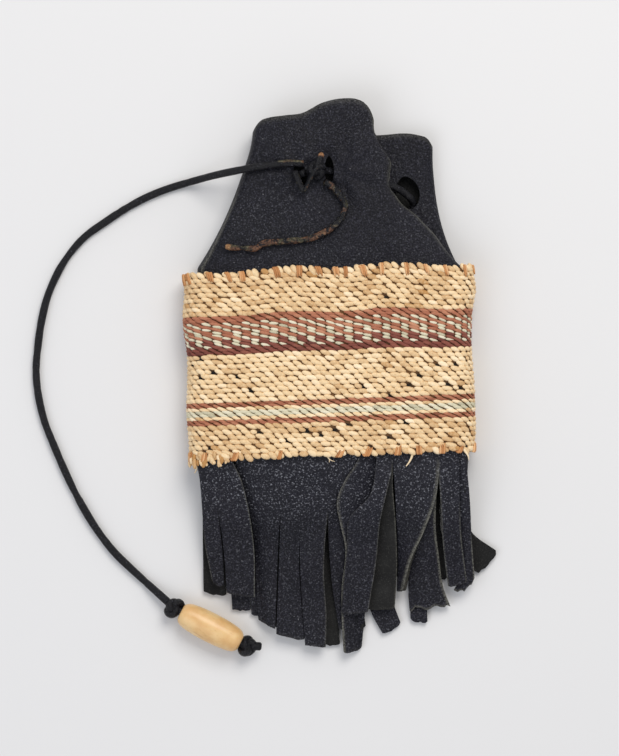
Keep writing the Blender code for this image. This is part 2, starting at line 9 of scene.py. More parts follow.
import bmesh
import bpy
import numpy as np
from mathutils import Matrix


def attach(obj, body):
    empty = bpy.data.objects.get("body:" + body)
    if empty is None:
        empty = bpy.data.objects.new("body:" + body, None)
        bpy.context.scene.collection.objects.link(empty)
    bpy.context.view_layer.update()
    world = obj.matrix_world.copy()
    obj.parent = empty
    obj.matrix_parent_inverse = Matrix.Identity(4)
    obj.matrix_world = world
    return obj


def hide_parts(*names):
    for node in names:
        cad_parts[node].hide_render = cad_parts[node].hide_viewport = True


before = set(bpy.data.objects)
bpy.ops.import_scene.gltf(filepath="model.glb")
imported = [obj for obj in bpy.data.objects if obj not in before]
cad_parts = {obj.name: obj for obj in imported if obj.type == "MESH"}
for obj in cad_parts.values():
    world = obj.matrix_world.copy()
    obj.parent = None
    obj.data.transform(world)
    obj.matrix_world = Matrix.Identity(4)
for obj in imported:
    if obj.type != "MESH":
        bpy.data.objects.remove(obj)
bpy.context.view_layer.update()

# Sizes repeated from the part's source, in metres.
GAP = 0.0003
LIE = 0.0002
LEATHER = 0.0011
THONG = 0.0021
BAND_X, BAND_Y = -0.0026, 0.0049
BAND_WIDTH, BAND_HEIGHT, BAND_DEPTH = 0.0775, 0.0505, 0.0142
BAND_WALL, BAND_ROLL, BAND_SLOPE = 0.0016, 0.0004, 0.035
BAND_TURN, BAND_CROWN, SIDE_TUCK = 0.0062, 0.0008, 0.0018
NECK_LEFT, NECK_RIGHT = -0.0226, 0.0248
NECK_TURN, NECK_CROWN, MOUTH_Y = 0.0024, 0.0003, 0.069
FOLD_X, TUCK, TUCK_RADIUS, UNFOLD = 0.0092, 0.0020, 0.0004, 0.020
FOOT_Y, FOOT_HEIGHT = -0.017, 0.0052
FRINGE_LAP, FRINGE_UNCUT = 0.0105, 0.0107
BEAD_LENGTH, BEAD_DIAMETER, BEAD_END_DIAMETER = 0.0188, 0.0080, 0.0060
BEAD_PLACE = np.array([-0.0350, -0.0671, BEAD_DIAMETER / 2])
BEAD_ANGLE = math.radians(-27.5)
KNOT_LENGTH, KNOT_WIDTH = 0.0060, 0.0064
NECK_KNOT = np.array([-0.0062, 0.0562])
SLIT_REACH = 0.0063
SLIT_RIGHT = np.array([NECK_KNOT[0] + SLIT_REACH, NECK_KNOT[1]])
SLIT_LEFT = np.array([NECK_KNOT[0] - SLIT_REACH, NECK_KNOT[1] - 0.0012])
SLIT_EDGE_Y = 0.0522
SLIT_LOWER = np.array([0.0192, 0.0492])

BAND_LEFT, BAND_RIGHT = BAND_X - BAND_WIDTH / 2, BAND_X + BAND_WIDTH / 2
BAND_TOP, BAND_BOTTOM = BAND_Y + BAND_HEIGHT / 2, BAND_Y - BAND_HEIGHT / 2
BAND_INSIDE = BAND_WALL + GAP
FRINGE_TOP = BAND_BOTTOM + FRINGE_LAP
CUT_Y = BAND_BOTTOM - FRINGE_UNCUT
FOLD_RADIUS = THONG / 2 + GAP + LEATHER
FOLD_ARC, TUCK_ARC = math.pi * FOLD_RADIUS, math.pi * TUCK_RADIUS
STEP_DOWN = 2 * (FOLD_RADIUS + TUCK_RADIUS)
NECK_Z = LIE + 2 * LEATHER + THONG + 2 * GAP + STEP_DOWN

# Height up the neck, and share of the way in from the sleeve's side, of the pleat's edge.
FOLD_RUN = (
    (0, 0.05), (0.044, 0.12), (0.16, 0.27), (0.23, 0.345), (0.30, 0.45), (0.38, 0.573), (0.43, 0.677),
    (0.50, 0.764), (0.565, 0.82), (0.655, 0.828), (0.735, 0.822), (0.79, 0.885), (0.86, 0.962),
    (0.95, 1), (1, 1),
)
# The mouth's rim above or below MOUTH_Y by its x, in mm: the front, and the lower layer beside it.
FRONT_RIM = (
    (-23.6, -2.3), (-22.9, -1.1), (-21.2, 0.8), (-19.6, 1.4), (-15.1, 2.1), (-9.5, 3.0), (-7.6, 4.0),
    (-5.7, 5.1), (-2.4, 6.2), (1.1, 6.7), (5.1, 6.3), (6.5, 5.6), (7.7, 4.4), (8.5, 2.9), (9.0, 1.5),
    (9.3, 0.2),
)
LOWER_RIM = ((8.6, -2.9), (12.5, -2.7), (17.5, -2.3), (21.6, -2.9), (23.9, -3.9), (25.2, -5.9))
# How far the back's rim stays below the front's, in mm.
BEHIND = 0.8

# Routes of the thong's two free ends, as the part's source has them.
TAIL_ROUTE = (
    (-0.0042, 0.0530), (-0.0030, 0.0526), (-0.0006, 0.0503), (0.0012, 0.0475), (0.0010, 0.0448),
    (-0.0006, 0.0422), (-0.0038, 0.0397), (-0.0084, 0.0378), (-0.0151, 0.0371), (-0.0203, 0.0366),
    (-0.0227, 0.0352), (-0.0249, 0.0353), (-0.0281, 0.0354), (-0.0308, 0.0358),
)
LONG_ROUTE = (
    (-0.0099, 0.0579), (-0.0124, 0.0581), (-0.0176, 0.0578), (-0.0225, 0.0571), (-0.0274, 0.0563),
    (-0.0354, 0.0549), (-0.0446, 0.0526), (-0.0520, 0.0498), (-0.0585, 0.0463), (-0.0641, 0.0426),
    (-0.0692, 0.0389), (-0.0734, 0.0342), (-0.0766, 0.0291), (-0.0794, 0.0226), (-0.0811, 0.0156),
    (-0.0820, 0.0091), (-0.0825, 0.0026), (-0.0819, -0.0041), (-0.0803, -0.0110), (-0.0780, -0.0170),
    (-0.0748, -0.0245), (-0.0715, -0.0314), (-0.0678, -0.0379), (-0.0650, -0.0421), (-0.0613, -0.0468),
    (-0.0566, -0.0514), (-0.0522, -0.0554),
)
DROP_START, DROP_END, END_RISE = -0.0235, -0.0450, 0.008


# Small tools for numbers and meshes.


def blend(a, b, t):
    """From a to b as t runs from 0 to 1, level at both ends."""
    t = np.clip(t, 0, 1)
    return a + (b - a) * t * t * (3 - 2 * t)


def run(points, t):
    """The value at t of the line through (t, value) points."""
    places, values = zip(*points)
    return np.interp(t, places, values)


def flow(points, t):
    """The value at t of the smooth curve through (t, value) points: on each stretch the cubic whose
    slope at either end is that of its neighbours."""
    places, values = np.array(sorted(points), float).T
    slopes = np.gradient(values, places)
    t = np.clip(t, places[0], places[-1])
    i = np.clip(np.searchsorted(places, t) - 1, 0, len(places) - 2)
    gap = places[i + 1] - places[i]
    u = (t - places[i]) / gap
    start = (2 * u**3 - 3 * u**2 + 1) * values[i] + (u**3 - 2 * u**2 + u) * gap * slopes[i]
    end = (3 * u**2 - 2 * u**3) * values[i + 1] + (u**3 - u**2) * gap * slopes[i + 1]
    return start + end


def rough(points, size, seed):
    """Smooth noise from -1 to 1: seeded values on a cubic lattice of this size, blended between."""
    cell = np.asarray(points, float) / size
    low = np.floor(cell).astype(np.int64)
    part = cell - low
    part = part * part * (3 - 2 * part)
    values = np.random.default_rng(seed).uniform(-1, 1, 8192)
    total = np.zeros(cell.shape[:-1])
    for corner in np.ndindex(2, 2, 2):
        at = low + np.array(corner)
        key = (at[..., 0] * 73856093) ^ (at[..., 1] * 19349663) ^ (at[..., 2] * 83492791)
        weight = np.prod(np.where(np.array(corner) == 1, part, 1 - part), axis=-1)
        total += weight * values[key % 8192]
    return total


def quads(rows, columns, around=False, closed=False):
    """The faces of a grid of points stored row after row, each row joined into a ring, and the last
    row to the first, if asked."""
    index = np.arange(rows * columns).reshape(rows, columns)
    if around:
        index = np.column_stack([index, index[:, 0]])
    if closed:
        index = np.concatenate([index, index[:1]])
    corners = (index[:-1, :-1], index[:-1, 1:], index[1:, 1:], index[1:, :-1])
    return np.stack(corners, axis=-1).reshape(-1, 4)


def piece(name, points, faces, materials, values=None, faces_material=None):
    """A mesh object at the origin, with a value per point for each name in values."""
    mesh = bpy.data.meshes.new(name)
    points = np.asarray(points, float).reshape(-1, 3)
    mesh.from_pydata(points.tolist(), [], [list(face) for face in faces])
    for material in materials:
        mesh.materials.append(material)
    for label, numbers in (values or {}).items():
        channel = mesh.attributes.new(label, "FLOAT", "POINT")
        channel.data.foreach_set("value", np.asarray(numbers, np.float32).ravel())
    if faces_material is not None:
        mesh.polygons.foreach_set("material_index", np.asarray(faces_material, np.int32))
    mesh.shade_smooth()
    made = bpy.data.objects.new(name, mesh)
    bpy.context.scene.collection.objects.link(made)
    return made


def settle(obj):
    """Turns the object's modifiers into its mesh."""
    graph = bpy.context.evaluated_depsgraph_get()
    made = bpy.data.meshes.new_from_object(obj.evaluated_get(graph), depsgraph=graph)
    old = obj.data
    obj.modifiers.clear()
    obj.data = made
    bpy.data.meshes.remove(old)


def joined(obj, apart=1e-6):
    """Makes one of points that share a place."""
    work = bmesh.new()
    work.from_mesh(obj.data)
    bmesh.ops.remove_doubles(work, verts=work.verts, dist=apart)
    work.to_mesh(obj.data)
    work.free()


def thickened(obj):
    """Gives a leather surface its thickness, inwards, with a flesh side and cut edges."""
    wall = obj.modifiers.new("wall", "SOLIDIFY")
    wall.thickness = LEATHER
    wall.offset = -1
    wall.material_offset = 1
    wall.material_offset_rim = 2
    settle(obj)


def crosswise(path, facing=None):
    """Two directions across the path at each of its points: turned as little as possible from one to
    the next, or kept towards the facing directions."""
    tangent = np.gradient(path, axis=0)
    tangent /= np.linalg.norm(tangent, axis=1, keepdims=True)
    if facing is not None:
        side = np.cross(tangent, facing)
        side /= np.linalg.norm(side, axis=1, keepdims=True)
        return side, np.cross(tangent, side)
    side = np.empty_like(path)
    first = np.cross((0, 0, 1), tangent[0])
    side[0] = first / np.linalg.norm(first)
    for i in range(1, len(path)):
        across = side[i - 1] - tangent[i] * (side[i - 1] @ tangent[i])
        side[i] = across / np.linalg.norm(across)
    return side, np.cross(tangent, side)


def sweep(path, width, height, around=14, squareness=0.8, scale=1.0, facing=None, closed=False):
    """A tube: at each point of the path a rounded-square ring, width across and height up, times
    scale there. point(i, a) = path[i] + scale (side cos^s a width/2 + up sin^s a height/2)."""
    path = np.asarray(path, float)
    if closed:
        long = np.concatenate([path[-2:], path, path[:2]])
        toward = np.concatenate([facing[-2:], facing, facing[:2]])
        side, up = (part[2:-2] for part in crosswise(long, toward))
    else:
        side, up = crosswise(path, facing)
    turn = np.linspace(0, 2 * math.pi, around, endpoint=False)
    across = np.sign(np.cos(turn)) * np.abs(np.cos(turn)) ** squareness * width / 2
    rise = np.sign(np.sin(turn)) * np.abs(np.sin(turn)) ** squareness * height / 2
    scale = np.broadcast_to(np.asarray(scale, float).reshape(-1, 1, 1), (len(path), 1, 1))
    ring = across[None, :, None] * side[:, None] + rise[None, :, None] * up[:, None]
    points = path[:, None] + scale * ring
    if closed:
        return points, quads(len(path), around, around=True, closed=True).tolist()
    faces = quads(len(path), around, around=True).tolist()
    last = (len(path) - 1) * around
    faces += [list(range(around))[::-1], list(range(last, last + around))]
    return points, faces


def gathered(parts):
    """Several (points, faces) shapes as one."""
    points, faces, count = [], [], 0
    for some, theirs in parts:
        some = np.asarray(some).reshape(-1, 3)
        points.append(some)
        faces += [[corner + count for corner in face] for face in theirs]
        count += len(some)
    return np.concatenate(points), faces


def route(points, spacing, low=THONG / 2):
    """Points spaced along the smooth curve through the route's own points, none lower than low."""
    points = np.array(points, float)
    ends = np.concatenate([[2 * points[0] - points[1]], points, [2 * points[-1] - points[-2]]])
    t = np.linspace(0, 1, 12, endpoint=False)[:, None]
    fine = []
    for a, b, c, d in zip(ends, ends[1:], ends[2:], ends[3:]):
        bend = (2 * a - 5 * b + 4 * c - d) * t**2 + (3 * b - 3 * c + d - a) * t**3
        fine.append(0.5 * (2 * b + (c - a) * t + bend))
    fine = np.concatenate([*fine, points[-1:]])
    along = np.concatenate([[0], np.cumsum(np.linalg.norm(np.diff(fine, axis=0), axis=1))])
    at = np.linspace(0, along[-1], round(along[-1] / spacing) + 1)
    line = np.column_stack([np.interp(at, along, fine[:, k]) for k in range(3)])
    line[:, 2] = np.maximum(line[:, 2], low)
    return line


def length_of(path):
    """The path's length."""
    return float(np.linalg.norm(np.diff(path, axis=0), axis=1).sum())


# Small tools for materials.


def linear(code):
    """The linear colour of an sRGB hex code such as C8A070."""
    parts = np.array([int(code[i : i + 2], 16) / 255 for i in (0, 2, 4)])
    parts = np.where(parts <= 0.04045, parts / 12.92, ((parts + 0.055) / 1.055) ** 2.4)
    return (*parts.tolist(), 1.0)


def fill(tree, node, inputs):
    """Gives the node's inputs, by name or number, their values, hex codes or sources."""
    for label, value in inputs.items():
        if isinstance(value, bpy.types.NodeSocket):
            tree.links.new(value, node.inputs[label])
        else:
            node.inputs[label].default_value = linear(value) if isinstance(value, str) else value


def add(tree, kind, inputs=None, out=0, stops=(), **settings):
    """A new node's output: settings are the node's properties, and stops a ramp's (place, hex code)."""
    node = tree.nodes.new("ShaderNode" + kind)
    for label, value in settings.items():
        setattr(node, label, value)
    if stops:
        while len(node.color_ramp.elements) < len(stops):
            node.color_ramp.elements.new(0.5)
        for element, (place, code) in zip(node.color_ramp.elements, stops):
            element.position = place
            element.color = linear(code)
    fill(tree, node, inputs or {})
    return node.outputs[out]


def begin(name):
    """A new material, its node tree and its Object coordinates."""
    made = bpy.data.materials.new(name)
    made.use_nodes = True
    return made, made.node_tree, add(made.node_tree, "TexCoord", out="Object")


def layer(tree, under, over, value, low, high, times=1.0):
    """The colour over laid on the colour under where the value runs from low to high, times a share."""
    share = {"Value": value, "From Min": low, "From Max": high}
    share = add(tree, "MapRange", share, interpolation_type="SMOOTHSTEP")
    share = add(tree, "Math", {0: share, 1: times}, operation="MULTIPLY")
    return add(tree, "Mix", {"Factor": share, 6: under, 7: over}, out=2, data_type="RGBA")


def finish(made, colour, roughness, specular, bumps, more=None):
    """Gives the material's shader its colour, its shine and its bumps, each on the one before."""
    tree, normal = made.node_tree, {}
    for height, distance, strength in bumps:
        links = {"Height": height, "Distance": distance, "Strength": strength, **normal}
        normal = {"Normal": add(tree, "Bump", links)}
    inputs = {"Base Color": colour, "Roughness": roughness, "Specular IOR Level": specular}
    fill(tree, tree.nodes["Principled BSDF"], {**inputs, **normal, **(more or {})})
    return made


def leather_grain():
    """Chrome-tanned black garment leather, grain side out: a fine pebble with painted glints here and there,
    faint wrinkles, worn grey plus a painted highlight where the rub and highlight attribute is high, and a
    grey veil with painted glint specks where the dust and glint attribute is."""
    made, tree, place = begin("black_leather_grain_side")
    pebble = add(tree, "TexVoronoi", {"Vector": place, "Scale": 1 / 0.00058}, feature="SMOOTH_F1")
    motes = add(tree, "TexVoronoi", {"Vector": place, "Scale": 1 / 0.0024})
    patches = add(tree, "TexNoise", {"Vector": place, "Scale": 1 / 0.012, "Detail": 3})
    fine = add(tree, "TexNoise", {"Vector": place, "Scale": 1 / 0.00042, "Detail": 3, "Roughness": 0.6})
    sparkle = {"Vector": place, "Scale": 1 / 0.0005, "Detail": 1.5, "Roughness": 0.6}
    sparkle = add(tree, "TexNoise", sparkle)
    drawn = add(tree, "Mapping", {"Vector": place, "Scale": (1, 0.22, 1)})
    wrinkles = {"Vector": drawn, "Scale": 1 / 0.0007, "Detail": 3, "Roughness": 0.6}
    wrinkles = add(tree, "TexNoise", wrinkles)
    dust_and_glint, rub_and_highlight = (add(tree, "Attribute", out="Fac", attribute_name=label) for label in ("dust_and_glint", "rub_and_highlight"))
    blacks = ((0.25, "0A0A10"), (0.55, "0F0F16"), (0.8, "15151D"))
    colour = add(tree, "ValToRGB", {"Fac": patches}, stops=blacks)
    # The dust and glint attribute lays a grey veil over the leather and sets how many painted glints show.
    veil = add(tree, "Math", {0: dust_and_glint, 1: 0.34}, operation="MULTIPLY")
    colour = add(tree, "Mix", {"Factor": veil, 6: colour, 7: "33333B"}, out=2, data_type="RGBA")
    colour = layer(tree, colour, "383842", fine, 0.48, 0.76)
    colour = layer(tree, colour, "2C2C35", wrinkles, 0.60, 0.80)
    # Painted glints: pale grey specks that stand for the grain's sparkle of light.
    colour = layer(tree, colour, "8E9098", sparkle, 0.54, 0.76, dust_and_glint)
    where = {"Value": patches, "From Min": 0.46, "From Max": 0.62}
    where = add(tree, "MapRange", where, interpolation_type="SMOOTHSTEP")
    colour = layer(tree, colour, "77777A", motes, 0.07, 0.04, where)
    # Worn grey where the rub and highlight attribute is high; along the pouch's fold edge it is a painted
    # highlight.
    colour = layer(tree, colour, "66655E", fine, 0.30, 0.60, rub_and_highlight)
    roughness = add(tree, "MapRange", {"Value": patches, "To Min": 0.45, "To Max": 0.65})
    bumps = ((pebble, 0.00026, 0.8), (wrinkles, 0.00025, 0.6), (fine, 0.00016, 0.8))
    return finish(made, colour, roughness, 0.15, bumps)


def leather_flesh():
    """The same leather's flesh side: a short matt nap with faint olive where the dye is thin."""
    made, tree, place = begin("black_leather_flesh_side")
    nap = add(tree, "TexNoise", {"Vector": place, "Scale": 1 / 0.0005, "Detail": 4, "Roughness": 0.65})
    patches = add(tree, "TexNoise", {"Vector": place, "Scale": 1 / 0.006})
    rub_and_highlight = add(tree, "Attribute", out="Fac", attribute_name="rub_and_highlight")
    blacks = ((0.3, "19191A"), (0.6, "222222"), (0.8, "2B2B2B"))
    colour = add(tree, "ValToRGB", {"Fac": patches}, stops=blacks)
    colour = layer(tree, colour, "3A3A38", nap, 0.5, 0.78)
    # Worn paler where the rub and highlight attribute is high, a painted highlight where it runs along the
    # pouch's fold.
    colour = layer(tree, colour, "5E5D57", nap, 0.32, 0.62, rub_and_highlight)
    return finish(made, colour, 0.95, 0.2, [(nap, 0.0003, 0.8)], {"Sheen Weight": 0.05})


def leather_edge():
    """The leather's cut edge: raw olive-grey fibres, paler than either side."""
    made, tree, place = begin("black_leather_cut_edge")
    fibres = add(tree, "TexNoise", {"Vector": place, "Scale": 1 / 0.0004, "Detail": 4, "Roughness": 0.7})
    olives = ((0.3, "1C1C1B"), (0.5, "2E2D29"), (0.7, "4C4A42"))
    colour = add(tree, "ValToRGB", {"Fac": fibres}, stops=olives)
    return finish(made, colour, 0.9, 0.25, [(fibres, 0.0002, 0.9)])


def thong_leather():
    """Leather lace: near black with a dull shine and painted glints, its dye worn through to olive, brown and
    raw tan where the wear attribute is high; on the neck knot's loop that attribute also paints a highlight
    along its edges."""
    made, tree, place = begin("black_leather_lace")
    grain = add(tree, "TexNoise", {"Vector": place, "Scale": 1 / 0.0006, "Detail": 4, "Roughness": 0.65})
    flecks = add(tree, "TexNoise", {"Vector": place, "Scale": 1 / 0.0013, "Detail": 3, "Roughness": 0.6})
    hue = add(tree, "TexNoise", {"Vector": place, "Scale": 1 / 0.0032})
    worn_and_highlight = add(tree, "Attribute", out="Fac", attribute_name="worn_and_highlight")
    # The black's top stops are painted glints: pale flecks on the lace's noisiest grain.
    black_with_glints, brown, olive, raw = (add(tree, "ValToRGB", {"Fac": grain}, stops=stops) for stops in (
        ((0.3, "06060A"), (0.6, "0F0F15"), (0.68, "34343C"), (0.76, "6A6A72")),
        ((0.3, "2E1F18"), (0.5, "5C4031"), (0.64, "805C43"), (0.8, "B68F66")),
        ((0.3, "1F1E17"), (0.5, "3E3B2C"), (0.72, "77705A")),
        ((0.34, "4A2F20"), (0.5, "8C6240"), (0.66, "C2966A")),
    ))
    colour = layer(tree, olive, brown, hue, 0.42, 0.56)
    tips = {"Value": worn_and_highlight, "From Min": 0.86, "From Max": 1.0}
    tips = add(tree, "MapRange", tips, interpolation_type="SMOOTHSTEP")
    colour = layer(tree, colour, raw, flecks, 0.34, 0.54, tips)
    wear = add(tree, "Math", {0: flecks, 1: 1.3, 2: worn_and_highlight}, operation="MULTIPLY_ADD")
    colour = layer(tree, black_with_glints, colour, wear, 1.15, 1.37)
    roughness = add(tree, "MapRange", {"Value": grain, "To Min": 0.22, "To Max": 0.46})
    return finish(made, colour, roughness, 0.26, [(grain, 0.0005, 1.0)])


def yarn(name, dark, middle, light, size=0.0005):
    """Twisted plant-fibre yarn: matt, with fine fibres and a tint of its own for every float, from the
    attribute tint."""
    made, tree, place = begin(name)
    fibres = add(tree, "TexNoise", {"Vector": place, "Scale": 1 / size, "Detail": 4, "Roughness": 0.65})
    patches = add(tree, "TexNoise", {"Vector": place, "Scale": 1 / 0.009})
    tint = add(tree, "Attribute", out="Fac", attribute_name="tint")
    for source, much in ((fibres, 0.7), (patches, 0.4)):
        centred = add(tree, "Math", {0: source, 1: 0.5}, operation="SUBTRACT")
        tint = add(tree, "Math", {0: centred, 1: much, 2: tint}, operation="MULTIPLY_ADD")
    colour = add(tree, "ValToRGB", {"Fac": tint}, stops=((0.02, dark), (0.5, middle), (0.95, light)))
    return finish(made, colour, 0.8, 0.3, [(fibres, 0.00016, 0.8)])


def painted_shade_ground_cloth():
    """The weave's ground behind its floats: a darker brown painted as the shade between them, black at each
    gap for the black leather beneath in its shade.
    """
    made, tree, place = begin("weave_ground_painted_shade")
    fibres = add(tree, "TexNoise", {"Vector": place, "Scale": 1 / 0.0006, "Detail": 3})
    gap = add(tree, "Attribute", out="Fac", attribute_name="gap")
    # Painted shade: a darker brown than the yarn, standing for the shadow between the floats.
    colour = add(tree, "ValToRGB", {"Fac": fibres}, stops=((0.3, "664629"), (0.7, "8E6840")))
    # Black at each gap: the black leather beneath, in painted shade.
    colour = add(tree, "Mix", {"Factor": gap, 6: colour, 7: "0B0A0A"}, out=2, data_type="RGBA")
    return finish(made, colour, 0.9, 0.5, [(fibres, 0.0002, 0.8)])


def bone():
    """Polished bone: warm ivory, slightly clouded, with a wax-like shine."""
    made, tree, place = begin("polished_bone")
    turned = add(tree, "Mapping", {"Vector": place, "Rotation": (0, 0, -BEAD_ANGLE)})
    drawn = add(tree, "Mapping", {"Vector": turned, "Scale": (0.3, 1, 1)})
    grain = add(tree, "TexNoise", {"Vector": drawn, "Scale": 1 / 0.0009, "Detail": 4, "Roughness": 0.6})
    patches = add(tree, "TexNoise", {"Vector": place, "Scale": 1 / 0.005, "Detail": 3})
    ivories = ((0.3, "D6A86E"), (0.5, "E2BC84"), (0.75, "EBCC98"))
    colour = add(tree, "ValToRGB", {"Fac": patches}, stops=ivories)
    colour = layer(tree, colour, "C99A5E", grain, 0.56, 0.80)
    glow = {"IOR": 1.54, "Subsurface Weight": 0.12, "Subsurface Radius": (0.003, 0.002, 0.001)}
    return finish(made, colour, 0.34, 0.5, [(grain, 0.00004, 0.4)], glow)


GRAIN, FLESH, EDGE = leather_grain(), leather_flesh(), leather_edge()
LACE = thong_leather()
TAN = yarn("natural_straw_yarn", "B98A54", "EDD1A6", "FEEBCB")
RUSSET = yarn("russet_dyed_yarn", "74442F", "A96B52", "C68F70", 0.0004)
DARK_RUSSET = yarn("dark_russet_dyed_yarn", "552F29", "80483D", "9C6250", 0.0004)
SAGE = yarn("sage_dyed_yarn", "A39C82", "D8D1B6", "EFE7D1", 0.0004)
BROWN = yarn("brown_sewing_thread", "A06A40", "C98F5C", "E2B484", 0.0004)
PAINTED_SHADE_GROUND = painted_shade_ground_cloth()
BONE = bone()


# The pouch: the same sections as the part's source, worked out for whole arrays of heights.


def pouch_frame(y):
    """The pouch's outer surface at y: its sides, back, front, the pleat's start and its angle."""
    y = np.asarray(y, float)
    up = (y - BAND_TOP) / (MOUTH_Y - BAND_TOP)
    in_band = BAND_TOP - y
    under_fringe = np.clip((FRINGE_TOP + 0.003 - y) / 0.003, 0, 1)
    inset = BAND_INSIDE + under_fringe * (LEATHER + 2 * GAP)
    tuck_in = under_fringe * (BAND_TURN / 2)
    v = np.clip(up, 0, 1)
    left = BAND_LEFT + BAND_INSIDE + tuck_in
    bow = blend(0.0010, -0.0010, v) * np.clip(up + 1, 0, 1)
    left = left + (NECK_LEFT - left) * (1 - (1 - v) ** 1.5) + bow
    right = BAND_RIGHT - BAND_INSIDE - SIDE_TUCK - tuck_in
    right = right + (NECK_RIGHT + 0.0004 - right) * (1 - (1 - v) ** 3)
    low = blend(inset, LIE, (y - BAND_TOP - GAP) / 0.009)
    high = blend(BAND_DEPTH - inset - BAND_CROWN, NECK_Z, (y - BAND_TOP + 0.002) / 0.022)
    crown = blend(BAND_CROWN, NECK_CROWN, up)
    turn = blend(BAND_TURN - BAND_INSIDE, NECK_TURN, up * 3)
    closing = (FRINGE_TOP - y) / (FRINGE_TOP - FOOT_Y)
    middle = (low + high) / 2
    low = blend(low, middle - FOOT_HEIGHT / 2, closing)
    high = blend(high, middle + FOOT_HEIGHT / 2, closing)
    angle = blend(math.pi, 0.25, in_band / UNFOLD)
    fold_radius, tuck_radius = FOLD_ARC / angle, TUCK_ARC / angle
    side_x = BAND_RIGHT - BAND_INSIDE
    fold_x = side_x + (FOLD_X - side_x) * flow(FOLD_RUN, v)
    advance = (fold_radius + tuck_radius) * np.sin(angle) + TUCK * np.cos(angle)
    lower_length = right - turn - (fold_x - FOLD_RADIUS - TUCK)
    lower_length = blend(lower_length, 0.0015, in_band / UNFOLD)
    start = right - turn - lower_length - advance
    return left, right, low, high, crown, turn, angle, fold_radius, tuck_radius, start


def plain_height(x, y):
    """The height of the leather's plain front surface over (x, y)."""
    left, _, low, high, crown, turn, _, fold_radius, _, start = pouch_frame(y)
    out = np.clip((x - start) / fold_radius, 0, 1)
    over = high - fold_radius * (1 - np.sqrt(1 - out * out))
    flat = high + crown * np.sin(math.pi * np.clip((start - x) / (start - left - turn), 0, 1))
    out = np.clip((left + turn - x) / turn, 0, 1)
    side = (low + high) / 2 + (high - low) / 2 * np.sqrt(1 - out * out)
    return np.where(x > start, over, np.where(x > left + turn, flat, side))


def clear_of_sleeve(y):
    """0 at the sleeve's top edge and below it, 1 from a little above it."""
    return blend(0, 1, (y - BAND_TOP - 0.001) / 0.006)


def swell(x, y):
    """How far the front's leather stands off its plain form: slow rolls, small dents, and puckers
    that run out from each slit and die away."""
    spot = np.stack(np.broadcast_arrays(x, y, 0.0), axis=-1)
    lift = 0.00034 * rough(spot, 0.012, 3) + 0.00014 * rough(spot, 0.0045, 4)
    lift = lift + 0.00004 * rough(spot, 0.0016, 5)
    for place, turns, seed in ((SLIT_LEFT, 6, 6), (SLIT_RIGHT, 7, 7)):
        dx, dy = x - place[0], y - place[1]
        away = np.hypot(dx, dy)
        rays = np.cos(turns * np.arctan2(dy, dx) + 0.9 * rough(spot, 0.005, seed))
        lift = lift + 0.00026 * np.exp(-(((away - 0.005) / 0.006) ** 2)) * rays
        lift = lift + 0.00045 * np.exp(-(((away - 0.0026) / 0.0011) ** 2))
    return lift * clear_of_sleeve(y)


def front_height(x, y):
    """The height of the leather's front with its rolls and puckers."""
    return plain_height(x, y) + swell(x, y)


# How many points the pouch's section has on its back, on each side's turn, on the step, on the tuck
# and on the edge of its pleat, and on its front.
BACK_POINTS, TURN_POINTS, STEP_POINTS, TUCK_POINTS, EDGE_POINTS, FRONT_POINTS = 48, 19, 21, 7, 14, 89


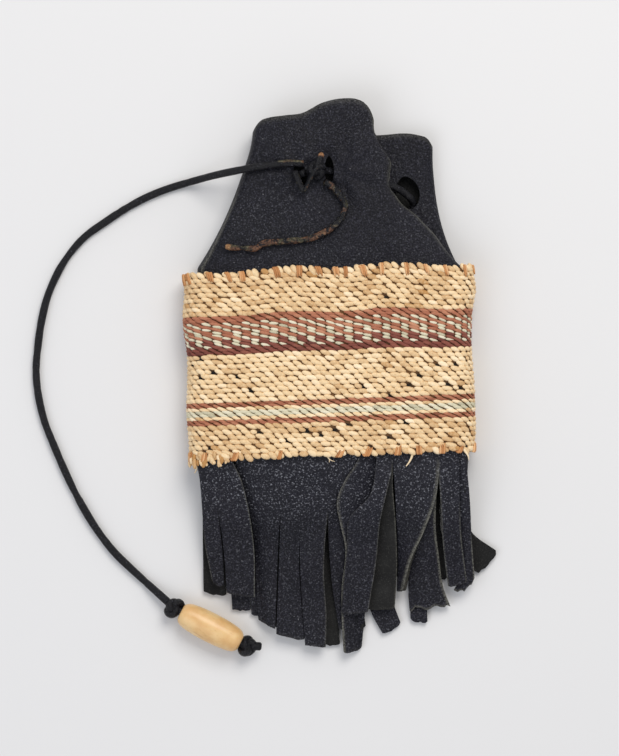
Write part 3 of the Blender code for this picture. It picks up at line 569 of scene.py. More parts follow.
def pouch_surface():
    """The pouch's outer surface, rows up it and points round each: the back, the right turn, the lower
    layer, the pleat, the front and the left turn, as in the source's section, with the rim cut to its
    heights and the leather's own rolls added."""
    heights = np.concatenate([
        np.linspace(FOOT_Y, FRINGE_TOP + 0.003, 6),
        np.linspace(FRINGE_TOP + 0.003, BAND_TOP - 0.002, 12)[1:],
        np.linspace(BAND_TOP - 0.002, MOUTH_Y, 92)[1:],
    ])
    y = heights[:, None]
    left, right, low, high, crown, turn, angle, fold_radius, tuck_radius, start = pouch_frame(y)
    over = angle * np.linspace(0, 1, EDGE_POINTS)
    edge_x = start + fold_radius * np.sin(over)
    edge_z = high - fold_radius * (1 - np.cos(over))
    turned_x = edge_x[:, -1:] + TUCK * np.cos(angle)
    turned_z = edge_z[:, -1:] - TUCK * np.sin(angle)
    back = angle * np.linspace(1, 0, TUCK_POINTS)
    tuck_x = turned_x + tuck_radius * (np.sin(angle) - np.sin(back))
    tuck_z = turned_z + tuck_radius * (np.cos(angle) - np.cos(back))
    fold_x = np.column_stack([edge_x, tuck_x])
    fold_z = np.column_stack([edge_z, tuck_z])
    lower = fold_z[:, -1:]
    swing = np.linspace(-math.pi / 2, math.pi / 2, TURN_POINTS + 2)[1:-1]
    share = np.linspace(0, 1, FRONT_POINTS + 1)
    flat = np.linspace(0, 1, BACK_POINTS)
    step = np.linspace(0, 1, STEP_POINTS + 1)[:-1]
    parts = (
        (left + turn + (right - left - 2 * turn) * flat, low + 0 * flat),
        (right - turn + turn * np.cos(swing), (low + lower) / 2 + (lower - low) / 2 * np.sin(swing)),
        (right - turn + (fold_x[:, -1:] - right + turn) * step, lower + 0 * step),
        (fold_x[:, ::-1], fold_z[:, ::-1]),
        ((start + (left + turn - start) * share)[:, 1:], (high + crown * np.sin(math.pi * share))[:, 1:]),
        (left + turn - turn * np.cos(swing), (low + high) / 2 - (high - low) / 2 * np.sin(swing)),
    )
    x = np.column_stack([np.broadcast_to(part[0], (len(heights), part[0].shape[1])) for part in parts])
    z = np.column_stack([np.broadcast_to(part[1], (len(heights), part[1].shape[1])) for part in parts])
    counts = [part[0].shape[1] for part in parts]
    top = np.split(1000 * x[-1], np.cumsum(counts)[:-1])
    front, lower = flow(FRONT_RIM, top[4]), flow(LOWER_RIM, np.concatenate(top[1:3]))
    past_fold = 9 * blend(0, 1, (top[0] - 8.6) / 0.8)
    covered = np.maximum(flow(FRONT_RIM, top[0]) - past_fold, flow(LOWER_RIM, top[0]))
    behind = covered - BEHIND * np.sin(math.pi * flat) ** 0.3
    fold = flow(FRONT_RIM, top[3])
    fold[:TUCK_POINTS] = blend(lower[-1], fold[TUCK_POINTS], np.linspace(0.1, 0.9, TUCK_POINTS))
    turned = flow(FRONT_RIM, top[5])
    rim = np.concatenate([behind, lower, fold, front, turned])
    cut = np.convolve(np.concatenate([rim[-1:], rim, rim[:1]]), np.ones(3) / 3000, "valid")
    y = y + cut * blend(0, 1, (y - MOUTH_Y + 0.016) / 0.016)
    first = sum(counts[:3])
    on_front = np.zeros(x.shape[1])
    on_front[first : first + counts[3]] = np.linspace(0, 1, counts[3])
    on_front[first + counts[3] : first + counts[3] + counts[4]] = 1
    on_front[-counts[5] :] = np.linspace(1, 0, counts[5])
    z = z + swell(x, y) * on_front
    on_lower = np.zeros(x.shape[1])
    on_lower[counts[0] : first] = np.sin(np.linspace(0, math.pi, first - counts[0])) ** 0.5
    spot = np.stack([x, y, z], axis=-1)
    z = z + on_lower * clear_of_sleeve(y) * 0.0003 * rough(spot, 0.009, 9)
    return np.stack([x, y, z], axis=-1)


def slit(name, place, size, turn):
    """A cutter for a slit: a leaf-shaped prism, size[0] across and size[1] long, its outline
    x = size/2 sin t, y = -size/2 cos t with the ends drawn to points."""
    t = np.linspace(0, 2 * math.pi, 24, endpoint=False)
    across = size[0] / 2 * np.sin(t) * np.abs(np.sin(t)) ** 0.3
    along = -size[1] / 2 * np.cos(t)
    x = place[0] + across * math.cos(turn) - along * math.sin(turn)
    y = place[1] + across * math.sin(turn) + along * math.cos(turn)
    rings = [np.column_stack([x, y, np.full(24, place[2] + k * size[2] / 2)]) for k in (-1, 1)]
    faces = quads(2, 24, around=True).tolist() + [list(range(24))[::-1], list(range(24, 48))]
    return piece(name, np.stack(rings), faces, [EDGE])


def make_pouch():
    """The pouch: its surface thickened inwards and its slits cut."""
    surface = pouch_surface()
    rows, around = surface.shape[:2]
    faces = quads(rows, around, around=True)[:, ::-1].tolist()
    faces.append(list(range(around)))
    x, y = surface[..., 0], surface[..., 1]
    column = np.arange(around)[None, :]
    fold, turn = around - TURN_POINTS - FRONT_POINTS - 8, around - 15
    # Rub and highlight: a painted highlight along the pleat's fold edge, a pale line along the left side's
    # turn and wear along the mouth's rim.
    rub_and_highlight = 1.3 * np.exp(-(((column - fold) / 2.6) ** 2)) * blend(0, 1, (y - BAND_TOP) / 0.01)
    rub_and_highlight = rub_and_highlight + 0.9 * np.exp(-(((column - turn) / 0.9) ** 2)) * blend(1, 0, (y - BAND_TOP - 0.016) / 0.006)
    rub_and_highlight = rub_and_highlight + 0.35 * blend(0, 1, (np.arange(len(surface))[:, None] - len(surface) + 5) / 4)
    # Dust and glint: a faint grey veil and few painted glints on the pouch.
    dust_and_glint = 0.08 + 0.14 * blend(0, 1, 0.5 + rough(surface, 0.011, 15)) + 0 * rub_and_highlight
    pouch = piece("leather_pouch", surface, faces, [GRAIN, FLESH, EDGE], {"rub_and_highlight": rub_and_highlight, "dust_and_glint": dust_and_glint})
    work = bmesh.new()
    work.from_mesh(pouch.data)
    bmesh.ops.recalc_face_normals(work, faces=work.faces)
    work.to_mesh(pouch.data)
    work.free()
    thickened(pouch)
    right, left, lower = (*SLIT_RIGHT, NECK_Z), (*SLIT_LEFT, NECK_Z), (*SLIT_LOWER, NECK_Z - STEP_DOWN)
    edge = pouch_frame(SLIT_EDGE_Y)
    cuts = [
        slit("slit_right", (right[0] - 0.0030, right[1] + 0.0001, right[2]), (0.0026, 0.0080, 0.004), 0.02),
        slit("slit_left", (left[0] + 0.0018, left[1] + 0.0002, left[2]), (0.0036, 0.0064, 0.004), 0.25),
        slit("slit_lower", (lower[0] - 0.0008, lower[1] + 0.0014, lower[2]), (0.0064, 0.0092, 0.0024), 0.24),
    ]
    tall = slit("slit_edge", (0, 0, 0), (0.0030, 0.0048, 0.004), 0)
    points = np.array([vertex.co for vertex in tall.data.vertices])
    moved = np.column_stack([points[:, 2], points[:, 1], points[:, 0]])
    centre = np.array([float(edge[9]) + FOLD_RADIUS, SLIT_EDGE_Y, float(edge[3]) - FOLD_RADIUS])
    tall.data.vertices.foreach_set("co", (moved + centre).ravel())
    tall.data.flip_normals()
    cuts.append(tall)
    for cut in cuts:
        hole = pouch.modifiers.new(cut.name, "BOOLEAN")
        hole.operation = "DIFFERENCE"
        hole.object = cut
    settle(pouch)
    for cut in cuts:
        bpy.data.objects.remove(cut, do_unlink=True)
    pouch.data.shade_smooth()
    pouch.data.set_sharp_from_angle(angle=math.radians(50))
    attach(pouch, "bag")
    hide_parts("pouch")
    return pouch


# The fringe. Each strip is (height in mm, x in mm) points down its left and right edges, where each
# edge's cut starts, the heights of its tip's two corners, how far it lifts off and tilts, how far
# each edge is tucked under its neighbour, and how torn its tip is.
STRIPS = (
    dict(left=((-14.9, -38.6), (-22.7, -38.1), (-31.6, -37.4), (-40.2, -36.9), (-44.6, -36.5), (-50.0, -35.5),
               (-56.2, -34.3)),
         right=((-14.9, -34.3), (-24.3, -33.9), (-34.0, -33.2), (-41.0, -32.3), (-48.3, -31.6),
                (-56.2, -31.3)),
         cuts=(-40.2, -34.0), tip=(-55.1, -56.4), lift=0.7, tilt=-0.2, round=1.3, rub_and_highlight=(0.5, 0)),
    dict(left=((-14.9, -34.3), (-24.3, -33.9), (-34.0, -33.2), (-41.0, -32.0), (-48.3, -31.2),
               (-58.1, -30.6)),
         right=((-14.9, -31.9), (-22.7, -28.5), (-26.5, -26.7), (-32.7, -25.1), (-38.6, -24.0),
                (-45.4, -23.2), (-59.1, -23.0)),
         cuts=(-34.0, -13.5), tip=(-57.8, -59.1), lift=1.2, tilt=0.2, round=0.2, rub_and_highlight=(0, 0.8)),
    dict(left=((-14.9, -29.2), (-24.3, -28.1), (-31.6, -25.9), (-36.7, -24.3), (-43.2, -23.2), (-54.0, -22.7),
               (-65.3, -22.1)),
         right=((-14.9, -14.9), (-24.3, -15.1), (-31.1, -15.5), (-35.1, -15.9), (-42.1, -16.5),
                (-50.8, -16.9), (-67.5, -17.5)),
         cuts=(-13.5, -35.1), tip=(-65.3, -67.8), lift=0.1, tilt=0.2, sink=(1.5, 0)),
    dict(left=((-14.9, -14.9), (-24.3, -15.1), (-31.1, -15.5), (-35.1, -15.9), (-42.1, -16.2), (-50.8, -16.5),
               (-68.0, -17.2)),
         right=((-14.9, -10.0), (-24.3, -10.1), (-35.1, -10.5), (-42.1, -10.8), (-47.2, -11.0),
                (-57.5, -10.6), (-70.7, -9.6)),
         cuts=(-35.1, -42.1), tip=(-69.1, -70.7), lift=0.3, tilt=-0.1),
    dict(left=((-14.9, -10.0), (-24.3, -10.1), (-35.1, -10.5), (-42.1, -10.8), (-47.2, -10.8), (-57.5, -10.4),
               (-71.8, -9.4)),
         right=((-14.9, -3.0), (-24.3, -3.0), (-35.4, -3.2), (-45.4, -4.1), (-52.4, -4.3), (-64.5, -3.6),
                (-72.6, -3.8)),
         cuts=(-42.1, -35.4), tip=(-72.1, -72.6), lift=0.7, tilt=0.2, rub_and_highlight=(0, 0.5)),
    dict(left=((-14.9, -3.0), (-24.3, -3.0), (-35.4, -3.2), (-45.4, -2.9), (-55.9, -2.0), (-67.0, -0.3)),
         right=((-14.9, 8.6), (-21.9, 8.0), (-27.0, 5.6), (-32.7, 3.2), (-44.8, 3.9), (-59.4, 3.4),
                (-68.0, 2.9)),
         cuts=(-35.4, -13.5), tip=(-67.6, -68.4), lift=-0.6, sink=(0, 1.2)),
    dict(left=((-14.9, 5.4), (-21.9, 4.6), (-26.5, 1.6), (-32.7, -0.8), (-38.6, 0.0), (-44.8, 1.4),
               (-56.7, 0.5), (-64.0, 0.5), (-74.2, 1.1)),
         right=((-14.9, 12.3), (-21.9, 11.8), (-32.7, 10.0), (-44.8, 8.4), (-56.7, 7.4), (-64.0, 6.8),
                (-73.4, 5.9)),
         cuts=(-13.5, -13.5), tip=(-74.5, -73.2), lift=0.3, tilt=-0.6, sink=(0, 2.2), round=0.8, rub_and_highlight=(1.6, 0)),
    dict(left=((-14.9, 10.0), (-23.8, 9.5), (-32.1, 7.3), (-36.2, 3.2), (-45.4, 2.0), (-54.0, 1.1),
               (-63.7, 0.3)),
         right=((-14.9, 14.0), (-23.8, 14.0), (-28.4, 13.0), (-38.6, 10.8), (-47.5, 10.0), (-62.6, 7.7)),
         cuts=(-13.5, -13.5), tip=(-63.7, -62.9), lift=2.0, tilt=0.2, rub_and_highlight=(0.2, 0.5)),
    dict(left=((-14.9, 11.9), (-23.8, 12.4), (-28.4, 11.9), (-38.6, 10.0), (-47.5, 8.9), (-62.4, 7.6)),
         right=((-14.9, 14.0), (-23.8, 14.2), (-27.8, 14.2), (-39.2, 15.1), (-50.5, 15.5), (-61.8, 14.9)),
         cuts=(-13.5, -13.5), tip=(-62.6, -62.1), lift=0.5, sink=(1.0, 0.1), flesh=True, rub_and_highlight=(0, 0.8)),
    dict(left=((-14.9, 14.0), (-23.2, 14.3), (-32.4, 15.0), (-40.5, 15.4), (-48.6, 15.7), (-57.2, 15.4)),
         right=((-14.9, 27.0), (-23.8, 26.7), (-32.1, 25.7), (-40.8, 22.7), (-48.6, 19.2), (-56.7, 17.1)),
         cuts=(-13.5, -13.5), tip=(-57.5, -56.7), lift=1.0, tilt=1.5, rub_and_highlight=(0, 2.4)),
    dict(left=((-14.9, 22.7), (-23.8, 22.7), (-32.4, 21.1), (-40.8, 19.7), (-50.0, 18.9), (-56.7, 18.6),
               (-65.1, 19.2)),
         right=((-14.9, 26.9), (-23.8, 26.6), (-32.4, 26.0), (-40.8, 26.0), (-48.6, 27.0), (-56.2, 28.1),
                (-62.4, 30.4)),
         cuts=(-13.5, -13.5), tip=(-62.4, -61.6), lift=-0.2, sink=(1.2, 0.4), torn=1.8, rub_and_highlight=(0, 1.8)),
    dict(left=((-14.9, 26.3), (-23.8, 26.5), (-32.4, 27.1), (-36.2, 27.3), (-44.6, 27.9), (-55.9, 29.3)),
         right=((-14.9, 31.9), (-23.8, 32.1), (-33.5, 32.4), (-41.9, 32.8), (-54.3, 34.4)),
         cuts=(-13.5, -33.5), tip=(-56.2, -55.1), lift=0.8, tilt=-0.3, rub_and_highlight=(0.6, 0.7)),
    dict(left=((-14.9, 31.9), (-23.8, 32.1), (-33.5, 32.4), (-41.9, 32.3), (-50.0, 33.0), (-54.3, 32.4),
               (-57.4, 30.6)),
         right=((-14.9, 33.6), (-22.1, 34.0), (-31.6, 35.0), (-41.9, 35.6), (-53.5, 36.5)),
         cuts=(-33.5, -41.9), tip=(-58.0, -54.4), lift=0.2, sink=(0.7, 0), torn=1.8, rub_and_highlight=(0, 1.0)),
)
# The back's strips, as (x, y) points in mm down each one's left and right edges below the cut.
BACK_STRIPS = (
    (((-37.2, -45), (-36.9, -58.0)), ((-31.2, -45), (-30.8, -58.6))),
    (((-30.3, -45), (-29.2, -62.6)), ((-24.9, -45), (-24.2, -62.9))),
    (((-24.8, -45), (-24.0, -64.0)), ((-19.3, -45), (-18.9, -64.5))),
    (((-19.2, -45), (-18.7, -67.0)), ((-13.4, -45), (-12.9, -67.4))),
    (((-13.3, -45), (-12.6, -69.9)), ((-7.5, -45), (-6.9, -70.3))),
    (((-7.4, -45), (-6.5, -72.0)), ((-1.4, -45), (0.1, -72.3))),
    (((-1.3, -43), (0.2, -54), (2.2, -69.4)), ((4.0, -43), (5.2, -54), (7.2, -67.5))),
    (((4.2, -42), (5.6, -53), (8.6, -63.2), (11.9, -69.4)), ((10.0, -41), (11.4, -51.5), (14.6, -60.8),
     (16.7, -66.4))),
    (((10.5, -40), (12.2, -48), (14.0, -53.5)), ((15.9, -40), (17.4, -48), (18.4, -53.5))),
    (((16.2, -42), (18.6, -54), (19.3, -65.4)), ((21.8, -42), (23.2, -54), (23.9, -66.2))),
    (((22.2, -40), (24.6, -48), (26.5, -54.5)), ((27.4, -40), (29.3, -48), (31.2, -53.6))),
    (((27.9, -41), (31.0, -48.6), (38.0, -52.6)), ((34.2, -36.5), (36.4, -41.9), (43.0, -46.8))),
)
TURNED_OVER = (1, 2, 7, 9)
# The height of the fringe's front above the table down its length, in mm.
FRONT_FALL = (
    (-14.9, 11.5), (-20.4, 11.4), (-24, 10.7), (-31, 8.2), (-40, 5.9), (-50, 4.4), (-60, 3.6), (-76, 3.1),
)
# The height of the leather behind it, in the same way.
BACK_RISE = (
    (-14.9, 1.9), (-20.4, 1.8), (-24, 1.1), (-28, 0.4), (-32, 0.25), (-36, 0.2), (-40, 0.2), (-76, 0.2),
)
SHARED_ROWS = np.linspace(-14.9, -41.9, 31)
TIP_ROWS = 26
STRIP_COLUMNS = 22


def edge_at(points, cut, y):
    """An edge's x at height y, smooth above its cut and below it, so that neighbours share it above."""
    above = [point for point in points if point[0] >= cut]
    below = [point for point in points if point[0] <= cut]
    upper = flow(above, y) if len(above) > 1 else 0 * y
    lower = flow(below, y) if len(below) > 1 else 0 * y
    return np.where(y > cut, upper, lower)


def front_fall(x, y, lift):
    """The front's height: its fall down the fringe, a low crown across it and the leather's rolls."""
    crown = 0.8 * np.clip(1 - ((x + 2) / 37) ** 2, 0, 1) * blend(1, 0.2, (-20 - y) / 25)
    spot = np.stack(np.broadcast_arrays(x, y, 0.0), axis=-1)
    rolls = 0.35 * rough(spot, 9, 21) * blend(0, 1, (-21 - y) / 8)
    return flow(FRONT_FALL, y) + crown + rolls + lift


def strip_surface(left, right, cuts, tip, lift=0.0, tilt=0.0, sink=(0, 0), flesh=False, torn=0.0, round=0.35,
                  rub_and_highlight=(0, 0), seed=0):
    """A strip's outer surface in mm: point(u, v) lies the share u of the way from the left edge to
    the right one at height v, and the rows below the shared ones run down to the tip's own line."""
    u = np.linspace(0, 1, STRIP_COLUMNS)[None, :]
    corner = round * np.abs(2 * u - 1) ** 5
    spot = np.stack([u * 5, 0 * u + seed, 0 * u], axis=-1)
    jag = rough(spot, 1.0, 30 + seed) + 0.6 * rough(spot, 0.33, 31 + seed)
    end = tip[0] + (tip[1] - tip[0]) * u + corner + (0.14 + torn * 0.5) * jag
    down = np.linspace(0, 1, TIP_ROWS)[1:, None]
    low = SHARED_ROWS[-1]
    y = np.concatenate([SHARED_ROWS[:, None] + 0 * u, low + (end - low) * down])
    x = edge_at(left, cuts[0], y) * (1 - u) + edge_at(right, cuts[1], y) * u
    free = np.minimum(cuts[0] * (1 - u) + cuts[1] * u, -20.5)
    loose = blend(0, 1, (free - y) / 11)
    z = front_fall(x, y, lift * loose)
    z = z + loose * (tilt * (2 * u - 1) * blend(0, 1, (free - y) / 26) - 0.28 * (2 * u - 1) ** 2)
    z = z - sink[0] * (1 - u) ** 2 - sink[1] * u**2
    wave = rough(np.stack([0 * y + seed * 3.7, y, 0 * y], axis=-1), 6.5, 40)
    z = np.maximum(z + loose * 0.35 * wave, blend(1.4, 2.5, (y + 67) / 3))
    wide = np.abs(edge_at(right, cuts[1], y) - edge_at(left, cuts[0], y)) + 0.1
    # Rub and highlight on the strips: paler worn cut edges and torn tips.
    light = 0 * z
    for away, much in ((u * wide, rub_and_highlight[0]), ((1 - u) * wide, rub_and_highlight[1])):
        near = np.exp(-((away / (0.28 + 0.30 * max(much - 0.8, 0))) ** 4))
        light = light + min(much, 1) * near * loose**0.3
    light = light + 0.35 * blend(0, 1, (y - end) / -0.5 + 1) * (0.4 + torn)
    # Dust and glint: more grey veil and painted glints towards the fringe's top.
    dust_and_glint = 0.24 + 0.50 * blend(0, 1, (y + 42) / 12)
    return np.stack([x, y, z], axis=-1), 3 if flesh else 0, light.clip(0, 1), dust_and_glint


def back_strip(k, edges):
    """The k-th strip of the fringe's back: below the cut its edges run smoothly through their points,
    and point(u, t) lies the share u of the way between the edges' points at t."""
    cut = 1000 * CUT_Y
    u = np.linspace(1, 0, STRIP_COLUMNS)[None, :, None]
    upper = SHARED_ROWS[SHARED_ROWS > cut]
    above = np.stack([edges[k] + (edges[k + 1] - edges[k]) * u[..., 0] + 0 * upper[:, None],
                      upper[:, None] + 0 * u[..., 0]], axis=-1)
    t = np.linspace(0, 1, 34)[:, None]
    sides = []
    for start, points in zip((edges[k], edges[k + 1]), BACK_STRIPS[k]):
        down = np.array([(start, cut), *points])
        at = np.linspace(0, 1, len(down))
        sides.append(np.stack([flow(list(zip(at, down[:, i])), t) for i in range(2)], axis=-1))
    below = sides[0] * (1 - u) + sides[1] * u
    jag = rough(np.concatenate([u * 7, 0 * u + k, 0 * u], axis=-1), 1.0, 60 + k)
    away = 0.25 * jag - 0.5 * np.abs(2 * u[..., 0] - 1) ** 5
    heading = below[-1:] - below[-2:-1]
    heading = heading / np.linalg.norm(heading, axis=-1, keepdims=True)
    below = below + heading * (away * t**3)[..., None]
    flat = np.concatenate([above, below])
    x, y = flat[..., 0], flat[..., 1]
    loose = blend(0, 1, (cut - y) / 20)
    z = flow(BACK_RISE, y) + 0.25 * loose * (1 + rough(np.stack([x, y, 0 * x], axis=-1), 8, 70))
    return np.stack([x, y, z], axis=-1)


def side_wall(front, back, bulge):
    """The leather between a front edge and a back one: half an oval, bulging outwards."""
    s = np.linspace(0, 1, 9)[None, :, None]
    mix = front[:, None] * (1 - s) + back[:, None] * s
    fading = blend(1, 0, (np.arange(len(front))[:, None] / (len(front) - 1) - 0.35) / 0.6)
    x = mix[..., 0] + bulge * fading * np.sin(math.pi * s[..., 0])
    z = front[:, None, 2] + (back[:, None, 2] - front[:, None, 2]) * (1 - np.cos(math.pi * s[..., 0])) / 2
    return np.stack([x, mix[..., 1], z], axis=-1)


def make_fringe():
    """The leather strip round the foot, cut into a fringe: its front strips, its back strips and the
    walls between them, joined where they share an edge, then thickened."""
    grids, kinds, rubs_and_highlights, dusts_and_glints = [], [], [], []
    for seed, strip in enumerate(STRIPS):
        surface, kind, rub_and_highlight, dust_and_glint = strip_surface(seed=seed, **strip)
        grids.append(surface)
        kinds.append(kind)
        rubs_and_highlights.append(rub_and_highlight)
        dusts_and_glints.append(dust_and_glint)
    edges = np.linspace(-37.2, 33.0, len(BACK_STRIPS) + 1)
    for k in range(len(BACK_STRIPS)):
        grids.append(back_strip(k, edges))
        kinds.append(3 if k in TURNED_OVER else 0)
    whole = int((SHARED_ROWS > 1000 * CUT_Y).sum())
    first, last = grids[0], grids[len(STRIPS) - 1]
    back = grids[len(STRIPS) :]
    grids.append(side_wall(first[:whole, 0], back[0][:whole, -1], -1.2))
    grids.append(side_wall(last[:whole, -1], back[-1][:whole, 0], 1.2)[:, ::-1])
    kinds += [0, 0]
    parts, material = [], []
    for grid, kind in zip(grids, kinds):
        rows, columns = grid.shape[:2]
        faces = quads(rows, columns)
        parts.append((grid / 1000, faces.tolist()))
        material += [kind] * len(faces)
    points, faces = gathered(parts)
    values = {}
    for label, known, rest in (("rub_and_highlight", rubs_and_highlights, 0.0), ("dust_and_glint", dusts_and_glints, 0.3)):
        value = np.concatenate([part.ravel() for part in known])
        values[label] = np.concatenate([value, np.full(len(points) - len(value), rest)])
    leather = [GRAIN, FLESH, EDGE, FLESH, GRAIN, EDGE]
    fringe = piece("leather_fringe", points, faces, leather, values, material)
    joined(fringe, 2e-5)
    work = bmesh.new()
    work.from_mesh(fringe.data)
    bmesh.ops.recalc_face_normals(work, faces=work.faces)
    highest = max(work.faces, key=lambda face: face.calc_center_median().z)
    if highest.normal.z < 0:
        bmesh.ops.reverse_faces(work, faces=work.faces)
    work.to_mesh(fringe.data)
    work.free()
    thickened(fringe)
    round_edge = fringe.modifiers.new("cut_edges", "BEVEL")
    round_edge.width = 0.00016
    round_edge.segments = 2
    round_edge.limit_method = "ANGLE"
    round_edge.angle_limit = math.radians(50)
    settle(fringe)
    fringe.data.shade_smooth()
    fringe.data.set_sharp_from_angle(angle=math.radians(60))
    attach(fringe, "bag")
    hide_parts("fringe")


# The woven sleeve.


def sleeve_line(out, count=1400):
    """The sleeve's flat oval in section, from its left end round by the front: points (x, z) at even
    steps, and the length round it. The surface stands out that far from the part's outer face."""
    left, right, low, high = BAND_LEFT, BAND_RIGHT, 0.0, BAND_DEPTH - BAND_CROWN
    turn, middle, half = BAND_TURN, (low + high) / 2, (high - low) / 2
    swing = np.linspace(0, math.pi / 2, 40)
    share = np.linspace(0, 1, 200)[1:-1]
    x = np.concatenate([
        left + turn - turn * np.cos(swing), left + turn + (right - left - 2 * turn) * share,
        right - turn + turn * np.cos(swing[::-1]), right - turn + turn * np.cos(swing[1:]),
        right - turn - (right - left - 2 * turn) * share, left + turn - turn * np.cos(swing[::-1][:-1]),
    ])
    z = np.concatenate([
        middle + half * np.sin(swing), high + BAND_CROWN * np.sin(math.pi * share),
        middle + half * np.sin(swing[::-1]), middle - half * np.sin(swing[1:]),
        low + 0 * share, middle - half * np.sin(swing[::-1][:-1]),
    ])
    line = np.column_stack([x, z])
    line = np.concatenate([line, line[:1]])
    step = np.linalg.norm(np.diff(line, axis=0), axis=1)
    along = np.concatenate([[0], np.cumsum(step)])
    at = np.linspace(0, along[-1], count + 1)
    even = np.column_stack([np.interp(at, along, line[:, k]) for k in range(2)])
    heading = np.gradient(even, axis=0)
    heading[0] = heading[-1] = even[1] - even[-2]
    heading /= np.linalg.norm(heading, axis=1, keepdims=True)
    outward = np.column_stack([-heading[:, 1], heading[:, 0]])
    return even + out * outward, outward, along[-1]


OVAL, OUTWARD, GIRTH = sleeve_line(0.0)
SLEEVE_IN = 0.0007


# How far the sleeve's sides stand out of line, to the right, by height: both in mm.
LEFT_SIDE = (
    (-20.4, 0.9), (-15, 0.6), (-8, -0.3), (0, 0.1), (8, 0.0), (12, -0.7), (16, -1.5), (20, -1.5), (25, -1.0),
    (30.1, -1.3),
)
RIGHT_SIDE = (
    (-20.4, 0.5), (-15, 0.8), (-8, 0.7), (-1, 0.2), (7, -0.6), (14, -0.6), (19, -0.2), (23.5, 0.8), (27, 0.4),
    (30.1, -0.4),
)


def on_sleeve(a, y, out):
    """The point a distance a round the sleeve from its left end, at height y of the plain sleeve and
    this far out from its face. The rows follow the sleeve's slope and droop towards its sides."""
    at = np.mod(a, GIRTH) / GIRTH * (len(OVAL) - 1)
    places = np.arange(len(OVAL))
    x = np.interp(at, places, OVAL[:, 0]) + out * np.interp(at, places, OUTWARD[:, 0])
    z = np.interp(at, places, OVAL[:, 1]) + out * np.interp(at, places, OUTWARD[:, 1])
    up = np.clip((y - BAND_Y + 0.010) / 0.034, 0, 1)
    off = (x - BAND_X) / (BAND_WIDTH / 2)
    side = 0.00075 * np.where(off < 0, flow(LEFT_SIDE, 1000 * y), flow(RIGHT_SIDE, 1000 * y))
    x = x + side * blend(0, 1, (np.abs(off) - 0.7) / 0.25)
    droop = 0.0012 * np.where(off < 0, np.abs(off) ** 3, off**4) * up
    droop = droop + 0.0004 * np.sin(9 * off + 1) * up
    return np.stack([x, y + BAND_SLOPE * (x - BAND_X) - droop, np.maximum(z, 0.00005)], axis=-1)


# The sleeve's rows from the top down: (how many, height of each in mm, what it is). A figured row is
# sage and russet by turns, and its number says which comes first.
TAN_ROW, FINE_ROW = 1.39, 0.84
FIGURED = (
    "russet", "russet", "figured_0", "figured_1", "figured_0", "figured_1", "figured_1", "figured_0",
    "figured_3", "figured_3", "figured_2", "dark", "dark",
)
ROWS = (
    *(("tan", TAN_ROW),) * 8,
    *((kind, FINE_ROW) for kind in FIGURED),
    *(("tan", TAN_ROW),) * 10,
    ("russet", 0.70), ("russet", 0.70), ("tan_fine", 0.90), ("sage", 0.85),
    ("sage", 0.85), ("tan_fine", 0.90), ("russet", 0.70), ("russet", 0.70),
    *(("tan", TAN_ROW),) * 6,
)
FLOAT_PITCH = 0.0025
SIDES, STATIONS = 8, 7
GAPS = 34


def grain_shape():
    """One float of yarn: a rice grain along its own axis, (along, across, out) from -1 to 1, where
    across and out shrink as sin^0.9 towards its ends."""
    t = np.linspace(0, math.pi, STATIONS)[1:-1, None]
    turn = np.linspace(0, 2 * math.pi, SIDES, endpoint=False)[None, :]
    fat = np.sin(t) ** 0.9
    ring = np.stack([-np.cos(t) + 0 * turn, fat * np.cos(turn), fat * np.sin(turn)], axis=-1).reshape(-1, 3)
    points = np.concatenate([ring, [[-1, 0, 0], [1, 0, 0]]])
    faces = [list(face) for face in quads(STATIONS - 2, SIDES, around=True)]
    start, end, last = len(points) - 2, len(points) - 1, (STATIONS - 3) * SIDES
    for k in range(SIDES):
        after = (k + 1) % SIDES
        faces.append([start, after, k])
        faces.append([end, last + k, last + after])
    return points, faces


# The columns of the table of floats that are used by name.
ROUND, UP, LONG, WIDE, COARSE = 0, 1, 2, 3, 7


def leaning(along, across, slant):
    """How far round and up points lie that are so far along and across a float of this slant."""
    round_by = along * np.cos(slant) - across * np.sin(slant)
    return round_by, along * np.sin(slant) + across * np.cos(slant)


def lay_rows():
    """Where every float lies: distance round, height, half length, half width, slant, dye, tint and
    whether it is coarse."""
    chance = np.random.default_rng(11)
    total = sum(height for _, height in ROWS)
    squeeze = (1000 * BAND_HEIGHT - 2.4) / total
    count = 2 * round(GIRTH / FLOAT_PITCH / 2)
    pitch = GIRTH / count
    y = BAND_TOP - 0.0012
    floats = []
    for number, (kind, height) in enumerate(ROWS):
        height = height * squeeze / 1000
        middle = y - height / 2
        y -= height
        k = np.arange(count)
        coarse = kind == "tan"
        shift = 0.0 if kind.startswith("figured") else 0.5 * (number % 2)
        figure = (k + int(kind[-1] if kind.startswith("figured") else 0)) % 2
        a = (k + shift) * pitch + chance.normal(0, 0.00014 if coarse else 0.00012, count)
        at = middle + chance.normal(0, 0.00009 if coarse else 0.00006, count)
        sage = np.full(count, kind.startswith("figured")) & (figure == 0)
        long = pitch * np.where(sage, 0.52, 0.67 if coarse else 0.69) * chance.uniform(0.88, 1.10, count)
        wide = height * np.where(sage, 0.56, 0.53 if coarse else 0.64) * chance.uniform(0.90, 1.10, count)
        slant = chance.normal(-0.30, 0.08, count)
        tint = chance.normal(0.54 if 20 < number < 31 or not coarse else 0.43, 0.13, count)
        if kind in ("tan", "tan_fine"):
            dye = np.zeros(count, int)
        elif kind == "russet":
            dye = np.full(count, 1)
        elif kind == "dark":
            dye = np.full(count, 2)
        elif kind == "sage":
            dye = np.full(count, 3)
        else:
            dye = np.where(figure == 0, 3, 2 if kind[-1] in "23" else 1)
        floats.append(np.column_stack([a, at, long, wide, slant, dye, tint, np.full(count, coarse)]))
    return np.concatenate(floats)


